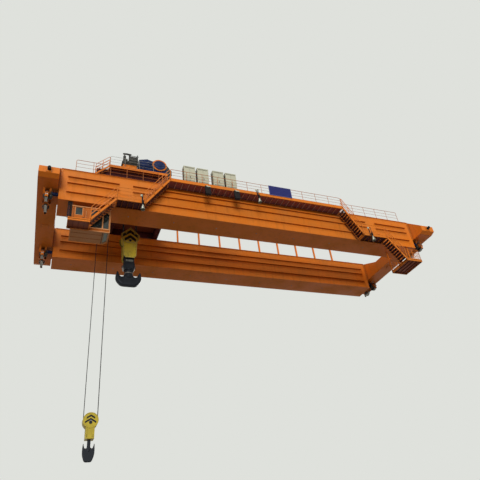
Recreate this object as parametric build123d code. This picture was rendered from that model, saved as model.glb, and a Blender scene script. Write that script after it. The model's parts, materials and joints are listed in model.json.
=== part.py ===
"""Double-girder overhead travelling crane with an operator's cab and a two-hook trolley.

Frame: X runs along the span, Y across the bridge away from the cab side, Z is up.
The origin is on the face of the jacking pad under the left end carriage, on its runway rail line.
All sizes are in millimetres.
"""
import math
import os

from build123d import *

# Bridge
span = 33800                    # runway rail to runway rail
trolley_gauge = 7900            # trolley rail to trolley rail, also girder to girder
girder_depth = 3000
girder_width = 1950             # over the two webs
girder_end_offset = 800         # runway rail line to the end of the webs
web_thickness = 14
flange_thickness = 28
flange_overhang = 60
stiffener_reach = 150
stiffener_lip = 90
stiffener_plate = 12
stiffener_heights = (760, 1640, 2230)     # above the girder's underside
stiffener_end_gap = 500
access_bays = {"left": (4290, 5340), "right": (4080, 5130)}    # plain web panels, from the web's end

# End carriages and running gear
carriage_width = 1400
carriage_plate = 20
carriage_underside = 990        # above the girder's underside
carriage_mid_depth = 1150
carriage_haunch_run = 1950
carriage_nose = 1450            # reach beyond the girder's outer web
carriage_nose_depth = 700
pad_size = 500
pad_thickness = 40
wheel_diameter = 800
wheel_width = 150
wheel_flange = 25
bogie_wheelbase = 1300
bogie_plate = 40
bogie_gap = 220
buffer_diameter = 250
buffer_length = 300

# Walkways, landings and stairs on the girder sides
walkway_start = 8100            # from the web's end
walkway_width = 1080
walkway_height = 2700           # deck above the girder's underside
deck_thickness = 8
edge_beam_depth = 320
edge_beam_rise = 150            # edge beam above the deck, as toe board
rib_pitch = 570
rib_depth = 60
rail_height = 1100
rail_bar = 40
post_pitch = 1330
landing_spans = {"left": (4030, 6150), "right": (4080, 6500)}    # from the web's end
stair_width = 880
stringer_depth = 190
stringer_thickness = 12
upper_treads = 11
lower_treads = 9
tread_depth = 240
tread_thickness = 30
platform_spans = {"left": (800, 2300), "right": (950, 2550)}    # from the web's end
platform_drops = {"left": 2350, "right": 2160}    # below the girder's underside
foot_rises = {"left": 150, "right": 0}    # lower flight's foot above its platform
cage_reach = 2350               # right-hand platform's size across the bridge
edge_rail_span = (950, 7450)    # railing on the girder's top edge, from the web's end
edge_rail_bays = 5

# Operator's cab under the left end of the cab-side girder
cab_start = 1060                # from the web's end
cab_length = 2700
cab_depth = 1560
cab_roof_drop = 390             # below the girder's underside
cab_height = 2040
cab_skin = 50
cab_glass = 12
cab_post = 90
cab_nose = 480                  # length of the glazed front bay
cab_chamfer = 330
door_window = (240, 700, 1270, 110)    # left, right, above the floor's underside, below the roof
side_window_start = 1340        # from the cab's rear wall
window_sill = 300               # above the floor's underside
window_head = 200               # below the roof

# Equipment on the bridge
cabinet_size = (980, 500, 2000)
cabinet_places = (9406, 10570, 11944, 13090)    # left face, from the web's end
sign_size = (2160, 30, 1045)
sign_place = 16800              # left edge, from the web's end
sign_rise = 80                  # lower edge above the walkway deck
floodlight_places = (10850, 13370)
floodlight_size = (460, 260, 760)
floodlight_drop = 300           # top of the lamp below the walkway deck
bell_lamp_place = 15630         # walkway lamp, from the web's end
landing_lamp_place = 5890       # landing lamps, from the web's end
landing_lamp_rises = {"left": 170, "right": 320}    # top of a lamp above its landing
bell_lamp_radius = 215
track_post_pitch = 2200
track_post_size = 150
track_post_height = 3100
track_end_gap = 2500            # web's end to the first post
trolley_rail_height = 130
trolley_rail_width = 100
trolley_stop_setback = 1450     # from the web's end to the stop's face
trolley_stop_height = 620

# Trolley
trolley_left = 3350             # trolley frame's left end at rest
trolley_length = 6600
frame_plate = 16
side_beam_width = 640
side_beam_depth = 760
cross_beam_width = 420
frame_underside = 480           # side beam's underside above the girder top
trolley_wheel_diameter = 700
trolley_wheel_inset = 750
side_deck_left = 950            # side deck's left end, from the trolley's left end
side_deck_length = 4700
side_deck_overhang = 790        # deck edge beyond the rail line
deck_plate = 12
deck_edge_depth = 170
trolley_ladder_run = 1150
trolley_ladder_width = 450
inner_beam_place = 900          # inner beams that carry the upper sheaves
inner_beam_width = 260
aux_beam_place = 420

# Main hoist
hook_x = 6760                   # main hook's centre line at rest
main_sheave_radius = 540
sheave_axle = 95                # radius of every sheave axle
main_sheave_count = 4
main_sheave_pitch = 240
main_rope = 36
main_drum_radius = 960
main_drum_flange = 1080
main_drum_length = 5200
main_drum_offset = 1600         # drum axis beyond the hook's centre line
main_drum_axis = 2300           # above the girder top
upper_sheave_axis = 900         # above the girder top
brake_disc_radius = 990
reducer_length = 2350
reducer_width = 620
reducer_hump = 615
reducer_cover = 490             # radius of the round cover on its near face
reducer_reach = 650             # reducer's near face beyond the trolley rail
brake_drum_radius = 250
motor_radius = 430
motor_length = 1050

# Main hook block, heights measured down from its sheave axle
block_axle_height = 590         # sheave axle above the girder's underside
shell_width = 1000
shell_plate = 30
block_crown = 840               # top of the gable above the sheave axle
shell_profile = ((680, 170), (680, -60), (640, -270), (500, -450), (250, -600))
cheek_profile = ((520, -330), (545, -560), (490, -1850), (370, -2050))
cheek_plate = 60
yoke_profile = ((380, -1590), (400, -2200), (480, -2740), (350, -3110))
yoke_depth = 560
trunnion_levels = (1650, 1950)
trunnion_half_width = 250
yoke_drop = 3110
horn_profile = ((0.88, 0), (1, 0.2), (1.01, 0.5), (0.66, 0.93), (0.5, 1))    # half width, drop
hook_half_width = 1005
hook_shank = 340
hook_thickness = 460
hook_drop = 4520

# Auxiliary hoist
aux_hook_x = 4560
aux_sheave_radius = 450
aux_sheave_pitch = 260
aux_rope = 30
aux_drum_axis = 2050            # above the girder top
aux_drum_length = 2600
aux_reducer_length = 1200
aux_seat_height = 620
aux_block_axle_drop = 14300     # sheave axle below the girder's underside
aux_shell_radius = 500
aux_neck_drop = 1150
aux_hook_half_width = 380
aux_hook_drop = 2500

running_gap = 0.3

# Levels and places that follow from the sizes above
girder_bottom = -(carriage_underside - pad_thickness)
girder_top = girder_bottom + girder_depth
rail_top = girder_bottom
girder_left = girder_end_offset
girder_right = span - girder_end_offset
girder_centre = trolley_gauge / 2
outer_web = girder_centre + girder_width / 2
inner_web = girder_centre - girder_width / 2
walkway_edge = outer_web + walkway_width
walkway_level = girder_bottom + walkway_height
carriage_bottom = pad_thickness
trolley_rail_top = girder_top + trolley_rail_height
wheel_axis = rail_top + wheel_diameter / 2
frame_low = girder_top + frame_underside
frame_high = frame_low + side_beam_depth
deck_top = frame_high + deck_plate
cross_beam_places = (
    trolley_left,
    trolley_left + 1900,
    trolley_left + trolley_length - cross_beam_width,
)
main_drum_x = hook_x + main_drum_offset
main_drum_z = girder_top + main_drum_axis
aux_drum_x = aux_hook_x + 2 * aux_sheave_radius
aux_drum_z = girder_top + aux_drum_axis
upper_sheave_z = girder_top + upper_sheave_axis
reducer_near = -(girder_centre + reducer_reach)
main_axle_z = girder_bottom + block_axle_height
aux_axle_z = girder_bottom - aux_block_axle_drop


def block(x0, x1, y0, y1, z0, z1):
    """A straight-sided solid between two corners."""
    size = Box(abs(x1 - x0), abs(y1 - y0), abs(z1 - z0))
    return Pos((x0 + x1) / 2, (y0 + y1) / 2, (z0 + z1) / 2) * size


def side_plane(y):
    """Sketch plane facing the cab side: sketch x runs along X, sketch y runs up."""
    return Plane(origin=(0, y, 0), x_dir=(1, 0, 0), z_dir=(0, -1, 0))


def end_plane(x):
    """Sketch plane facing +X: sketch x runs along Y, sketch y runs up."""
    return Plane(origin=(x, 0, 0), x_dir=(0, 1, 0), z_dir=(1, 0, 0))


def side_plate(sketch, y0, y1):
    """A sketch in X and Z made solid from y0 to y1."""
    return extrude(side_plane(max(y0, y1)) * sketch, amount=abs(y1 - y0), dir=(0, -1, 0))


def end_plate(sketch, x0, x1):
    """A sketch in Y and Z made solid from x0 to x1."""
    return extrude(end_plane(min(x0, x1)) * sketch, amount=abs(x1 - x0), dir=(1, 0, 0))


def bar(p, q, width):
    """A flat bar in a sketch, from point p to point q."""
    length = math.dist(p, q)
    turn = math.degrees(math.atan2(q[1] - p[1], q[0] - p[0]))
    middle = ((p[0] + q[0]) / 2, (p[1] + q[1]) / 2)
    return Pos(*middle) * Rot(0, 0, turn) * Rectangle(length + width, width)


def level_plate(sketch, z0, z1):
    """A sketch in plan made solid from z0 to z1."""
    return extrude(Plane(origin=(0, 0, z0)) * sketch, amount=z1 - z0, dir=(0, 0, 1))


def bars(pairs, width):
    """Several flat bars joined into one sketch."""
    return Sketch() + [bar(p, q, width) for p, q in pairs]


def mirrored(points):
    """A closed outline from the points of its right half."""
    return Polygon(*points, *[(-x, y) for x, y in reversed(points) if x], align=None)


def across(x, y0, y1, z, radius):
    """A round bar along Y."""
    centre = Plane(origin=(x, min(y0, y1), z), x_dir=(1, 0, 0), z_dir=(0, 1, 0))
    return extrude(centre * Circle(radius), amount=abs(y1 - y0))


def upright(x, y, z0, z1, radius):
    """A round bar along Z."""
    return extrude(Plane(origin=(x, y, min(z0, z1))) * Circle(radius), amount=abs(z1 - z0))


def from_end(side, distance):
    """X of a point that lies a distance in from the webs' left or right end."""
    return girder_left + distance if side == "left" else girder_right - distance


def railing_lines(start, end, base, posts, height=rail_height):
    """Posts, top rail and two knee rails of a straight railing, in sketch points."""
    step = (end - start) / posts
    places = [start + step * n for n in range(posts + 1)]
    foot = base + rail_bar / 2
    lines = [((place, foot), (place, base + height)) for place in places]
    for share in (1.0, 0.66, 0.33):
        lines.append(((start, base + height * share), (end, base + height * share)))
    return lines


def save(name, shape):
    """Write one node."""
    export_step(shape, f"parts/{name}.step")


def welded(shapes):
    """Pieces that touch, made one solid."""
    first, *rest = shapes
    return first.fuse(*rest) if rest else first


def joined(name, shapes):
    """Write one node whose pieces are welded into one solid."""
    save(name, welded(shapes))


def separate(name, shapes):
    """Write one node that holds several solids which don't touch."""
    save(name, Compound([solid for shape in shapes for solid in shape.solids()]))


def stiffener(x0, x1, face, outward, height):
    """An angle welded along a web, with its lip turned up."""
    z = girder_bottom + height
    tip = face + outward * stiffener_reach
    leg = block(x0, x1, face, tip, z, z + stiffener_plate)
    lip = block(x0, x1, tip - outward * stiffener_plate, tip, z, z + stiffener_lip)
    return [leg, lip]


def web(face, outward, landing_side):
    """One web plate with its stiffening angles; the plain bays are beside the landings."""
    z0 = girder_bottom + flange_thickness
    z1 = girder_top - flange_thickness
    pieces = [block(girder_left, girder_right, face - outward * web_thickness, face, z0, z1)]
    runs = [(girder_left + stiffener_end_gap, girder_right - stiffener_end_gap)]
    if landing_side:
        left = [from_end("left", distance) for distance in access_bays["left"]]
        right = [from_end("right", distance) for distance in access_bays["right"]]
        runs = [(runs[0][0], left[0]), (left[1], right[1]), (right[0], runs[0][1])]
    for height in stiffener_heights:
        for x0, x1 in runs:
            pieces += stiffener(x0, x1, face, outward, height)
    return pieces


def girder(name, side):
    """One welded box girder; side is -1 at the cab and +1 away from it."""
    y_outer = side * outer_web
    y_inner = side * inner_web
    low, high = sorted((y_outer, y_inner))
    edges = (low - flange_overhang, high + flange_overhang)
    bottom = block(girder_left, girder_right, *edges, girder_bottom, girder_bottom + flange_thickness)
    top = block(girder_left, girder_right, *edges, girder_top - flange_thickness, girder_top)
    joined(name, [bottom, top, *web(y_outer, side, side < 0), *web(y_inner, -side, False)])


def carriage_profile():
    """Side view of an end carriage: deep over the girders, shallow between and at the noses."""
    deep = girder_top
    middle_top = carriage_bottom + carriage_mid_depth
    haunch = inner_web - carriage_haunch_run
    nose = outer_web + carriage_nose
    nose_top = carriage_bottom + carriage_nose_depth
    return mirrored([
        (haunch, middle_top),
        (inner_web, deep),
        (outer_web, deep),
        (nose, nose_top),
        (nose, carriage_bottom + 150),
        (nose - 400, carriage_bottom),
    ])


def end_carriage(name, side, rail_x):
    """One end carriage with the jacking pad under its middle."""
    x0 = rail_x - carriage_width / 2
    x1 = rail_x + carriage_width / 2
    outline = carriage_profile()
    hollow = offset(outline, -carriage_plate, kind=Kind.INTERSECTION)
    body = end_plate(outline, x0, x1) - end_plate(hollow, x0 + carriage_plate, x1 - carriage_plate)
    pad = block(rail_x - pad_size / 2, rail_x + pad_size / 2, -pad_size / 2, pad_size / 2, 0, pad_thickness)
    face = girder_left if side == "left" else girder_right
    inward = x1 if side == "left" else x0
    saddles = [
        block(face, inward, y - girder_width / 2, y + girder_width / 2, carriage_bottom, girder_top)
        for y in (-girder_centre, girder_centre)
    ]
    joined(name, [body, pad, *saddles])


def wheel(x, y, z, diameter, width, flange):
    """A double-flanged wheel with its hub, turning about X."""
    r = diameter / 2
    half = width / 2
    hub = bogie_gap / 2 - running_gap
    outline = Polygon(
        (0, -hub), (r * 0.35, -hub), (r * 0.35, -half + 25), (r * 0.8, -half + 25),
        (r * 0.8, -half - 20), (r + flange, -half - 20), (r + flange, -half), (r, -half),
        (r, half), (r + flange, half), (r + flange, half + 20), (r * 0.8, half + 20),
        (r * 0.8, half - 25), (r * 0.35, half - 25), (r * 0.35, hub), (0, hub),
        align=None,
    )
    plane = Plane(origin=(x, y, z), x_dir=(0, 1, 0), z_dir=(0, 0, 1))
    return revolve(plane * outline, Axis((x, y, z), (1, 0, 0)))


def running_gear():
    """Bogie frames, wheels and buffers under both end carriages."""
    frames, wheels, buffers = [], [], []
    reach = bogie_wheelbase / 2
    tall = carriage_bottom
    for rail_x in (0, span):
        for y in (-girder_centre, girder_centre):
            outline = Polygon(
                (y - reach - 330, wheel_axis - 120), (y + reach + 330, wheel_axis - 120),
                (y + reach + 330, wheel_axis + 170), (y + 380, tall), (y - 380, tall),
                (y - reach - 330, wheel_axis + 170), align=None,
            )
            for edge in (-1, 1):
                inner = rail_x + edge * bogie_gap / 2
                frames.append(end_plate(outline, inner, inner + edge * bogie_plate))
            core = Polygon((y - 200, wheel_axis - 60), (y + 200, wheel_axis - 60), (y + 200, tall),
                           (y - 200, tall), align=None)
            frames.append(end_plate(core, rail_x - bogie_gap / 2, rail_x + bogie_gap / 2))
            for axle in (y - reach, y + reach):
                wheels.append(wheel(rail_x, axle, wheel_axis, wheel_diameter, wheel_width, wheel_flange))
        for sign in (-1, 1):
            root = sign * (outer_web + carriage_nose)
            centre_z = carriage_bottom + 420
            buffers.append(across(rail_x, root, root + sign * buffer_length, centre_z, buffer_diameter / 2))
    groups = [frames[n:n + 3] for n in range(0, len(frames), 3)]
    separate("bogie_frames", [a.fuse(b, c) for a, b, c in groups])
    separate("travel_wheels", wheels)
    separate("end_buffers", buffers)


def walkway(side):
    """The walkway along one girder's outer web: its deck with edge beam and ribs, and its railing."""
    x0 = from_end("left", walkway_start)
    x1 = from_end("right", walkway_start)
    near = side * outer_web
    far = side * walkway_edge
    pieces = [block(x0, x1, near, far, walkway_level - deck_thickness, walkway_level)]
    beam_top = walkway_level + edge_beam_rise
    beam_in = far - side * stringer_thickness
    pieces.append(block(x0, x1, beam_in, far, beam_top - edge_beam_depth, beam_top))
    count = int((x1 - x0) / rib_pitch)
    for n in range(count + 1):
        x = x0 + 10 + (x1 - x0 - 20) * n / count
        low = walkway_level - deck_thickness - rib_depth
        pieces.append(block(x - 5, x + 5, near, beam_in, low, walkway_level - deck_thickness))
    posts = round((x1 - x0) / post_pitch)
    lines = railing_lines(x0 + rail_bar / 2, x1 - rail_bar / 2, beam_top, posts,
                          rail_height - edge_beam_rise)
    y0 = far - side * stringer_thickness
    return welded(pieces), side_plate(bars(lines, rail_bar), y0, y0 - side * rail_bar)


def stair(x_top, z_top, x_bottom, z_bottom, treads):
    """One flight between two levels on the cab side: two stringers and its treads."""
    y_out = -walkway_edge
    y_in = y_out + stair_width
    string = bars([((x_top, z_top), (x_bottom, z_bottom))], stringer_depth)
    clip = Pos((x_top + x_bottom) / 2, (z_top + z_bottom) / 2)
    clip = clip * Rectangle(abs(x_top - x_bottom), abs(z_top - z_bottom) + stringer_depth)
    string = string & clip
    pieces = [
        side_plate(string, y_out, y_out + stringer_thickness),
        side_plate(string, y_in - stringer_thickness, y_in),
    ]
    for n in range(1, treads + 1):
        share = n / (treads + 1)
        x = x_top + (x_bottom - x_top) * share
        z = z_top + (z_bottom - z_top) * share
        pieces.append(block(x - tread_depth / 2, x + tread_depth / 2, y_out, y_in, z - tread_thickness, z))
    return pieces


def stair_rails(x_top, z_top, x_bottom, z_bottom, posts):
    """Handrail, knee rail and posts that follow each of a flight's stringers."""
    lines = []
    for n in range(posts):
        share = (n + 0.5) / posts
        x = x_top + (x_bottom - x_top) * share
        z = z_top + (z_bottom - z_top) * share
        lines.append(((x, z - rail_bar), (x, z + rail_height)))
    for rise in (rail_height, rail_height * 0.6):
        lines.append(((x_top, z_top + rise), (x_bottom, z_bottom + rise)))
    outer = -walkway_edge
    inner = outer + stair_width
    panel = bars(lines, rail_bar)
    return [side_plate(panel, y, y + rail_bar) for y in (outer - rail_bar, inner)]


def landing(side):
    """The level landing at the girder's underside, between two flights."""
    xs = sorted(from_end(side, distance) for distance in landing_spans[side])
    far = -walkway_edge
    near = -outer_web - flange_overhang
    pieces = [block(*xs, far, near, girder_bottom, girder_bottom + deck_thickness)]
    pieces.append(block(*xs, far, far + stringer_thickness, girder_bottom - rib_depth, girder_bottom + 120))
    for share in (0.02, 0.34, 0.66, 0.98):
        x = xs[0] + (xs[1] - xs[0]) * share
        low = girder_bottom - rib_depth
        pieces.append(block(x - 5, x + 5, far, near, low, girder_bottom))
    ends = (xs[0] + rail_bar / 2, xs[1] - rail_bar / 2)
    lines = railing_lines(*ends, girder_bottom + 120, 3, rail_height - 120)
    pieces.append(side_plate(bars(lines, rail_bar), far, far + rail_bar))
    return pieces


def accesses():
    """Stairs, landings and lower platforms at both ends of the cab side."""
    landings, upper_flights, lower_flights, handrails = [], [], [], []
    for side in ("left", "right"):
        top = from_end(side, walkway_start)
        low, high = [from_end(side, distance) for distance in landing_spans[side]]
        foot = from_end(side, platform_spans[side][1])
        upper = (top, walkway_level, high, girder_bottom)
        lower = (low, girder_bottom, foot, girder_bottom - platform_drops[side] + foot_rises[side])
        landings.append(landing(side))
        upper_flights.append(stair(*upper, upper_treads))
        lower_flights.append(stair(*lower, lower_treads))
        handrails += stair_rails(*upper, 4) + stair_rails(*lower, 4)
    separate("side_landings", [welded(pieces) for pieces in landings])
    separate("side_stairs", [welded(pieces) for pieces in upper_flights + lower_flights])
    separate("stair_handrails", handrails)
    platform("left", "cab_access_platform", outer_web - walkway_edge, False)
    platform("right", "maintenance_cage", cage_reach - walkway_width, True)


def platform(side, name, reach_in, caged):
    """A railed platform below the girder's end, fixed to the cab, or caged and hung from the girder."""
    xs = sorted(from_end(side, distance) for distance in platform_spans[side])
    y0 = -walkway_edge
    y1 = -outer_web + reach_in if caged else -outer_web
    z = girder_bottom - platform_drops[side]
    pieces = [block(*xs, y0, y1, z - deck_thickness, z)]
    pieces.append(block(*xs, y0, y0 + stringer_thickness, z - 140, z + 120))
    pieces.append(block(*xs, y1 - stringer_thickness, y1, z - 140, z + 120))
    for x in (xs[0], xs[1] - stringer_thickness):
        pieces.append(block(x, x + stringer_thickness, y0, y1, z - 140, z - deck_thickness))
    outer_x = xs[0] if side == "left" else xs[1] - rail_bar
    ends = railing_lines(y0 + rail_bar / 2, y1 - rail_bar / 2, z, 2 if caged else 1, rail_height)
    pieces.append(end_plate(bars(ends, rail_bar), outer_x, outer_x + rail_bar))
    if caged:
        rail = railing_lines(xs[0] + rail_bar / 2, xs[1] - rail_bar / 2, z + 120, 3, rail_height - 120)
        pieces.append(side_plate(bars(rail, rail_bar), y0, y0 + rail_bar))
        pieces.append(side_plate(bars(rail, rail_bar), y1 - rail_bar, y1))
        for x in (xs[0], xs[1] - 80):
            for y in (-outer_web + 60, y1 - 80):
                pieces.append(block(x, x + 80, y, y + 80, z - deck_thickness, girder_bottom))
    joined(name, pieces)


def walkways():
    """Both walkways, with the railings that go on along the cab-side girder's top edge."""
    front_deck, front_rail = walkway(-1)
    rear_deck, rear_rail = walkway(1)
    separate("walkway_decks", [front_deck, rear_deck])
    panels = [front_rail, rear_rail]
    for side in ("left", "right"):
        xs = sorted(from_end(side, distance) for distance in edge_rail_span)
        ends = (xs[0] + rail_bar / 2, xs[1] - rail_bar / 2)
        lines = railing_lines(*ends, girder_top, edge_rail_bays, rail_height)
        y = -outer_web - flange_overhang
        panels.append(side_plate(bars(lines, rail_bar), y, y + rail_bar))
    separate("girder_railings", panels)


def cab_outline():
    """Side view of the cab: square, with the foot of its front drawn back."""
    x0 = girder_left + cab_start
    x1 = x0 + cab_length
    z1 = girder_bottom - cab_roof_drop
    z0 = z1 - cab_height
    return x0, x1, z0, z1


def cab():
    """The operator's cab: floor, roof, walls with window openings, glass and hangers."""
    x0, x1, z0, z1 = cab_outline()
    y0 = -outer_web
    y1 = y0 + cab_depth
    bay = x1 - cab_nose
    plan = [(x0, y0), (x1, y0), (x1, y1 - cab_chamfer), (x1 - cab_chamfer, y1), (x0, y1)]
    floor = Polygon(*plan, align=None)
    opening = Polygon((bay + 90, y0 + 100), (x1 - 90, y0 + 100), (x1 - 90, y1 - cab_chamfer - 60),
                      (x1 - cab_chamfer + 20, y1 - 130), (bay + 90, y1 - 130), align=None)
    joined("cab_floor", [extrude(Plane(origin=(0, 0, z0)) * (floor - opening), amount=cab_skin)])
    roof = level_plate(floor, z1 - cab_skin, z1)
    hangers = [
        block(x, x + 120, y, y + 120, z1, girder_bottom)
        for x in (x0 + 40, x1 - 520) for y in (y0 + 300, y1 - 160)
    ]
    joined("cab_roof", [roof, *hangers])
    inner = offset(floor, -cab_skin, kind=Kind.INTERSECTION)
    shell = extrude(Plane(origin=(0, 0, z0 + cab_skin)) * (floor - inner), amount=cab_height - 2 * cab_skin)
    sill = z0 + window_sill
    head = z1 - window_head
    door = x0 + side_window_start
    left, right, low, high = door_window
    small = (x0 + left, x0 + right)
    levels = (z0 + low, z1 - high)
    cuts = [
        block(*small, y0 - 10, y0 + cab_skin + 10, *levels),
        block(door, bay - cab_post, y0 - 10, y0 + cab_skin + 10, sill, head),
        block(bay, x1 - cab_post, y0 - 10, y0 + cab_skin + 10, sill, head),
        block(door, bay - cab_post, y1 - cab_skin - 10, y1 + 10, sill, head),
        block(x1 - cab_skin - 10, x1 + 10, y0 + cab_post, y1 - cab_chamfer - 40, sill, head),
        block(x0 - 10, x0 + cab_skin + 10, y0 + 400, y1 - 400, *levels),
    ]
    joined("cab_walls", [shell.cut(*cuts)])
    glass_in = y0 + cab_skin / 2
    front_in = x1 - cab_skin / 2
    far_in = y1 - cab_skin / 2
    back_in = x0 + cab_skin / 2
    panes = [
        block(*small, glass_in, glass_in + cab_glass, *levels),
        block(door, bay - cab_post, glass_in, glass_in + cab_glass, sill, head),
        block(bay, x1 - cab_post, glass_in, glass_in + cab_glass, sill, head),
        block(door, bay - cab_post, far_in, far_in + cab_glass, sill, head),
        block(front_in, front_in + cab_glass, y0 + cab_post, y1 - cab_chamfer - 40, sill, head),
        block(back_in, back_in + cab_glass, y0 + 400, y1 - 400, *levels),
        extrude(Plane(origin=(0, 0, z0 + cab_skin / 2)) * opening, amount=cab_glass),
    ]
    separate("cab_glass", panes)


def equipment():
    """Cabinets, lamps, the blank plate and the cable track on the bridge."""
    width, depth, height = cabinet_size
    near = -outer_web - flange_overhang - depth - 20
    boxes = []
    for place in cabinet_places:
        x = girder_left + place
        boxes.append(block(x, x + width, near, near + depth, walkway_level, walkway_level + height))
    separate("electrical_cabinets", boxes)
    face = -walkway_edge
    plate_x = girder_left + sign_place
    length, thick, tall = sign_size
    plate_z = walkway_level + sign_rise
    plate = block(plate_x, plate_x + length, face - thick, face, plate_z, plate_z + tall)
    joined("name_plate_blank", [plate])
    lamps = []
    for place in floodlight_places:
        w, d, h = floodlight_size
        x = girder_left + place
        low = walkway_level - floodlight_drop - h
        head = block(x, x + w, face - d, face - 30, low, low + h)
        arm = block(x + w / 2 - 25, x + w / 2 + 25, face - 80, face, low + h, walkway_level)
        lamps.append(head.fuse(arm))
    bells = [bell_lamp(girder_left + bell_lamp_place, walkway_level - 60, walkway_level - 150)]
    for side, rise in landing_lamp_rises.items():
        bells.append(bell_lamp(from_end(side, landing_lamp_place), girder_bottom + rise, girder_bottom))
    separate("work_lamps", lamps + bells)


def bell_lamp(x, z, seat):
    """A hanging lamp: driver housing over a bell reflector, on a bracket that starts at height seat."""
    r = bell_lamp_radius
    y = -walkway_edge - r - 20
    profile = Polygon((0, 0), (110, 0), (110, -400), (60, -440), (60, -540), (r, -1070), (r, -1100),
                      (0, -1050), align=None)
    plane = Plane(origin=(x, y, z), x_dir=(1, 0, 0), z_dir=(0, -1, 0))
    body = revolve(plane * profile, Axis((x, y, z), (0, 0, 1)))
    arm = block(x - 30, x + 30, y, -walkway_edge, z - 60, z)
    strap = block(x - 30, x + 30, -walkway_edge - 15, -walkway_edge, seat, z)
    return body.fuse(arm, strap)


def cable_track():
    """Posts and trough of the trolley's power cable track along the far girder."""
    x0 = girder_left + track_end_gap
    x1 = girder_right - track_end_gap
    half = track_post_size / 2
    y = outer_web + flange_overhang - half
    top = girder_top + track_post_height
    count = round((x1 - x0) / track_post_pitch)
    pieces = []
    for n in range(count + 1):
        x = x0 + (x1 - x0) * n / count
        pieces.append(block(x - half, x + half, y - half, y + half, girder_top, top))
    pieces.append(block(x0 - 200, x1 + 200, y - half, y + 260, top, top + 160))
    joined("cable_track_posts", pieces)


def trolley_rails():
    """Both trolley rails with their end stops."""
    rails = []
    for y in (-girder_centre, girder_centre):
        half = trolley_rail_width / 2
        x0 = girder_left + 200
        x1 = girder_right - 200
        pieces = [
            block(x0, x1, y - half, y + half, girder_top, trolley_rail_top),
            block(x0, x1, y - half * 1.6, y + half * 1.6, girder_top, girder_top + 25),
        ]
        for x in (girder_left + trolley_stop_setback - 300, girder_right - trolley_stop_setback):
            pieces.append(block(x, x + 300, y - 180, y + 180, girder_top, girder_top + trolley_stop_height))
        rails.append(welded(pieces))
    separate("trolley_rails", rails)


def hollow_beam(x0, x1, y0, y1, z0, z1):
    """A box beam welded from plate."""
    t = frame_plate
    return block(x0, x1, y0, y1, z0, z1) - block(x0 + t, x1 - t, y0 + t, y1 - t, z0 + t, z1 - t)


def wheel_places():
    """X and Y of the four trolley wheels."""
    xs = (trolley_left + trolley_wheel_inset, trolley_left + trolley_length - trolley_wheel_inset)
    return [(x, y) for x in xs for y in (-girder_centre, girder_centre)]


def trolley_frame():
    """Side beams with wheel pockets, cross beams and the inner beams that carry the machinery."""
    x0 = trolley_left
    x1 = x0 + trolley_length
    half = side_beam_width / 2
    inner = girder_centre - half
    pocket = trolley_wheel_diameter / 2 + 70
    pieces = []
    for y in (-girder_centre, girder_centre):
        pieces.append(hollow_beam(x0 + trolley_wheel_inset + pocket, x1 - trolley_wheel_inset - pocket,
                                  y - half, y + half, frame_low, frame_high))
        for sign in (-1, 1):
            face = y + sign * half
            pieces.append(block(x0, x1, face, face - sign * frame_plate, frame_low, frame_high))
        pieces.append(block(x0, x1, y - half, y + half, frame_high - frame_plate, frame_high))
        for x in (x0, x1 - frame_plate):
            pieces.append(block(x, x + frame_plate, y - half, y + half, frame_low, frame_high))
    for x in cross_beam_places:
        pieces.append(hollow_beam(x, x + cross_beam_width, -inner, inner, frame_low + 60, frame_high))
    first, second, third = cross_beam_places
    for y in (-inner_beam_place, inner_beam_place):
        side = math.copysign(inner_beam_width, y)
        pieces.append(hollow_beam(second + cross_beam_width, third, y, y + side, frame_low + 60, frame_high))
    for y in (-aux_beam_place, aux_beam_place):
        side = math.copysign(inner_beam_width, y)
        pieces.append(hollow_beam(first + cross_beam_width, second, y, y + side, frame_low + 60, frame_high))
    joined("trolley_frame", pieces)
    axle = trolley_rail_top + trolley_wheel_diameter / 2
    sets = []
    for x, y in wheel_places():
        shaft = across(x, y - half + frame_plate, y + half - frame_plate, axle, 70)
        sets.append(wheel_across(x, y, axle).fuse(shaft))
    separate("trolley_wheels", sets)


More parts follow.
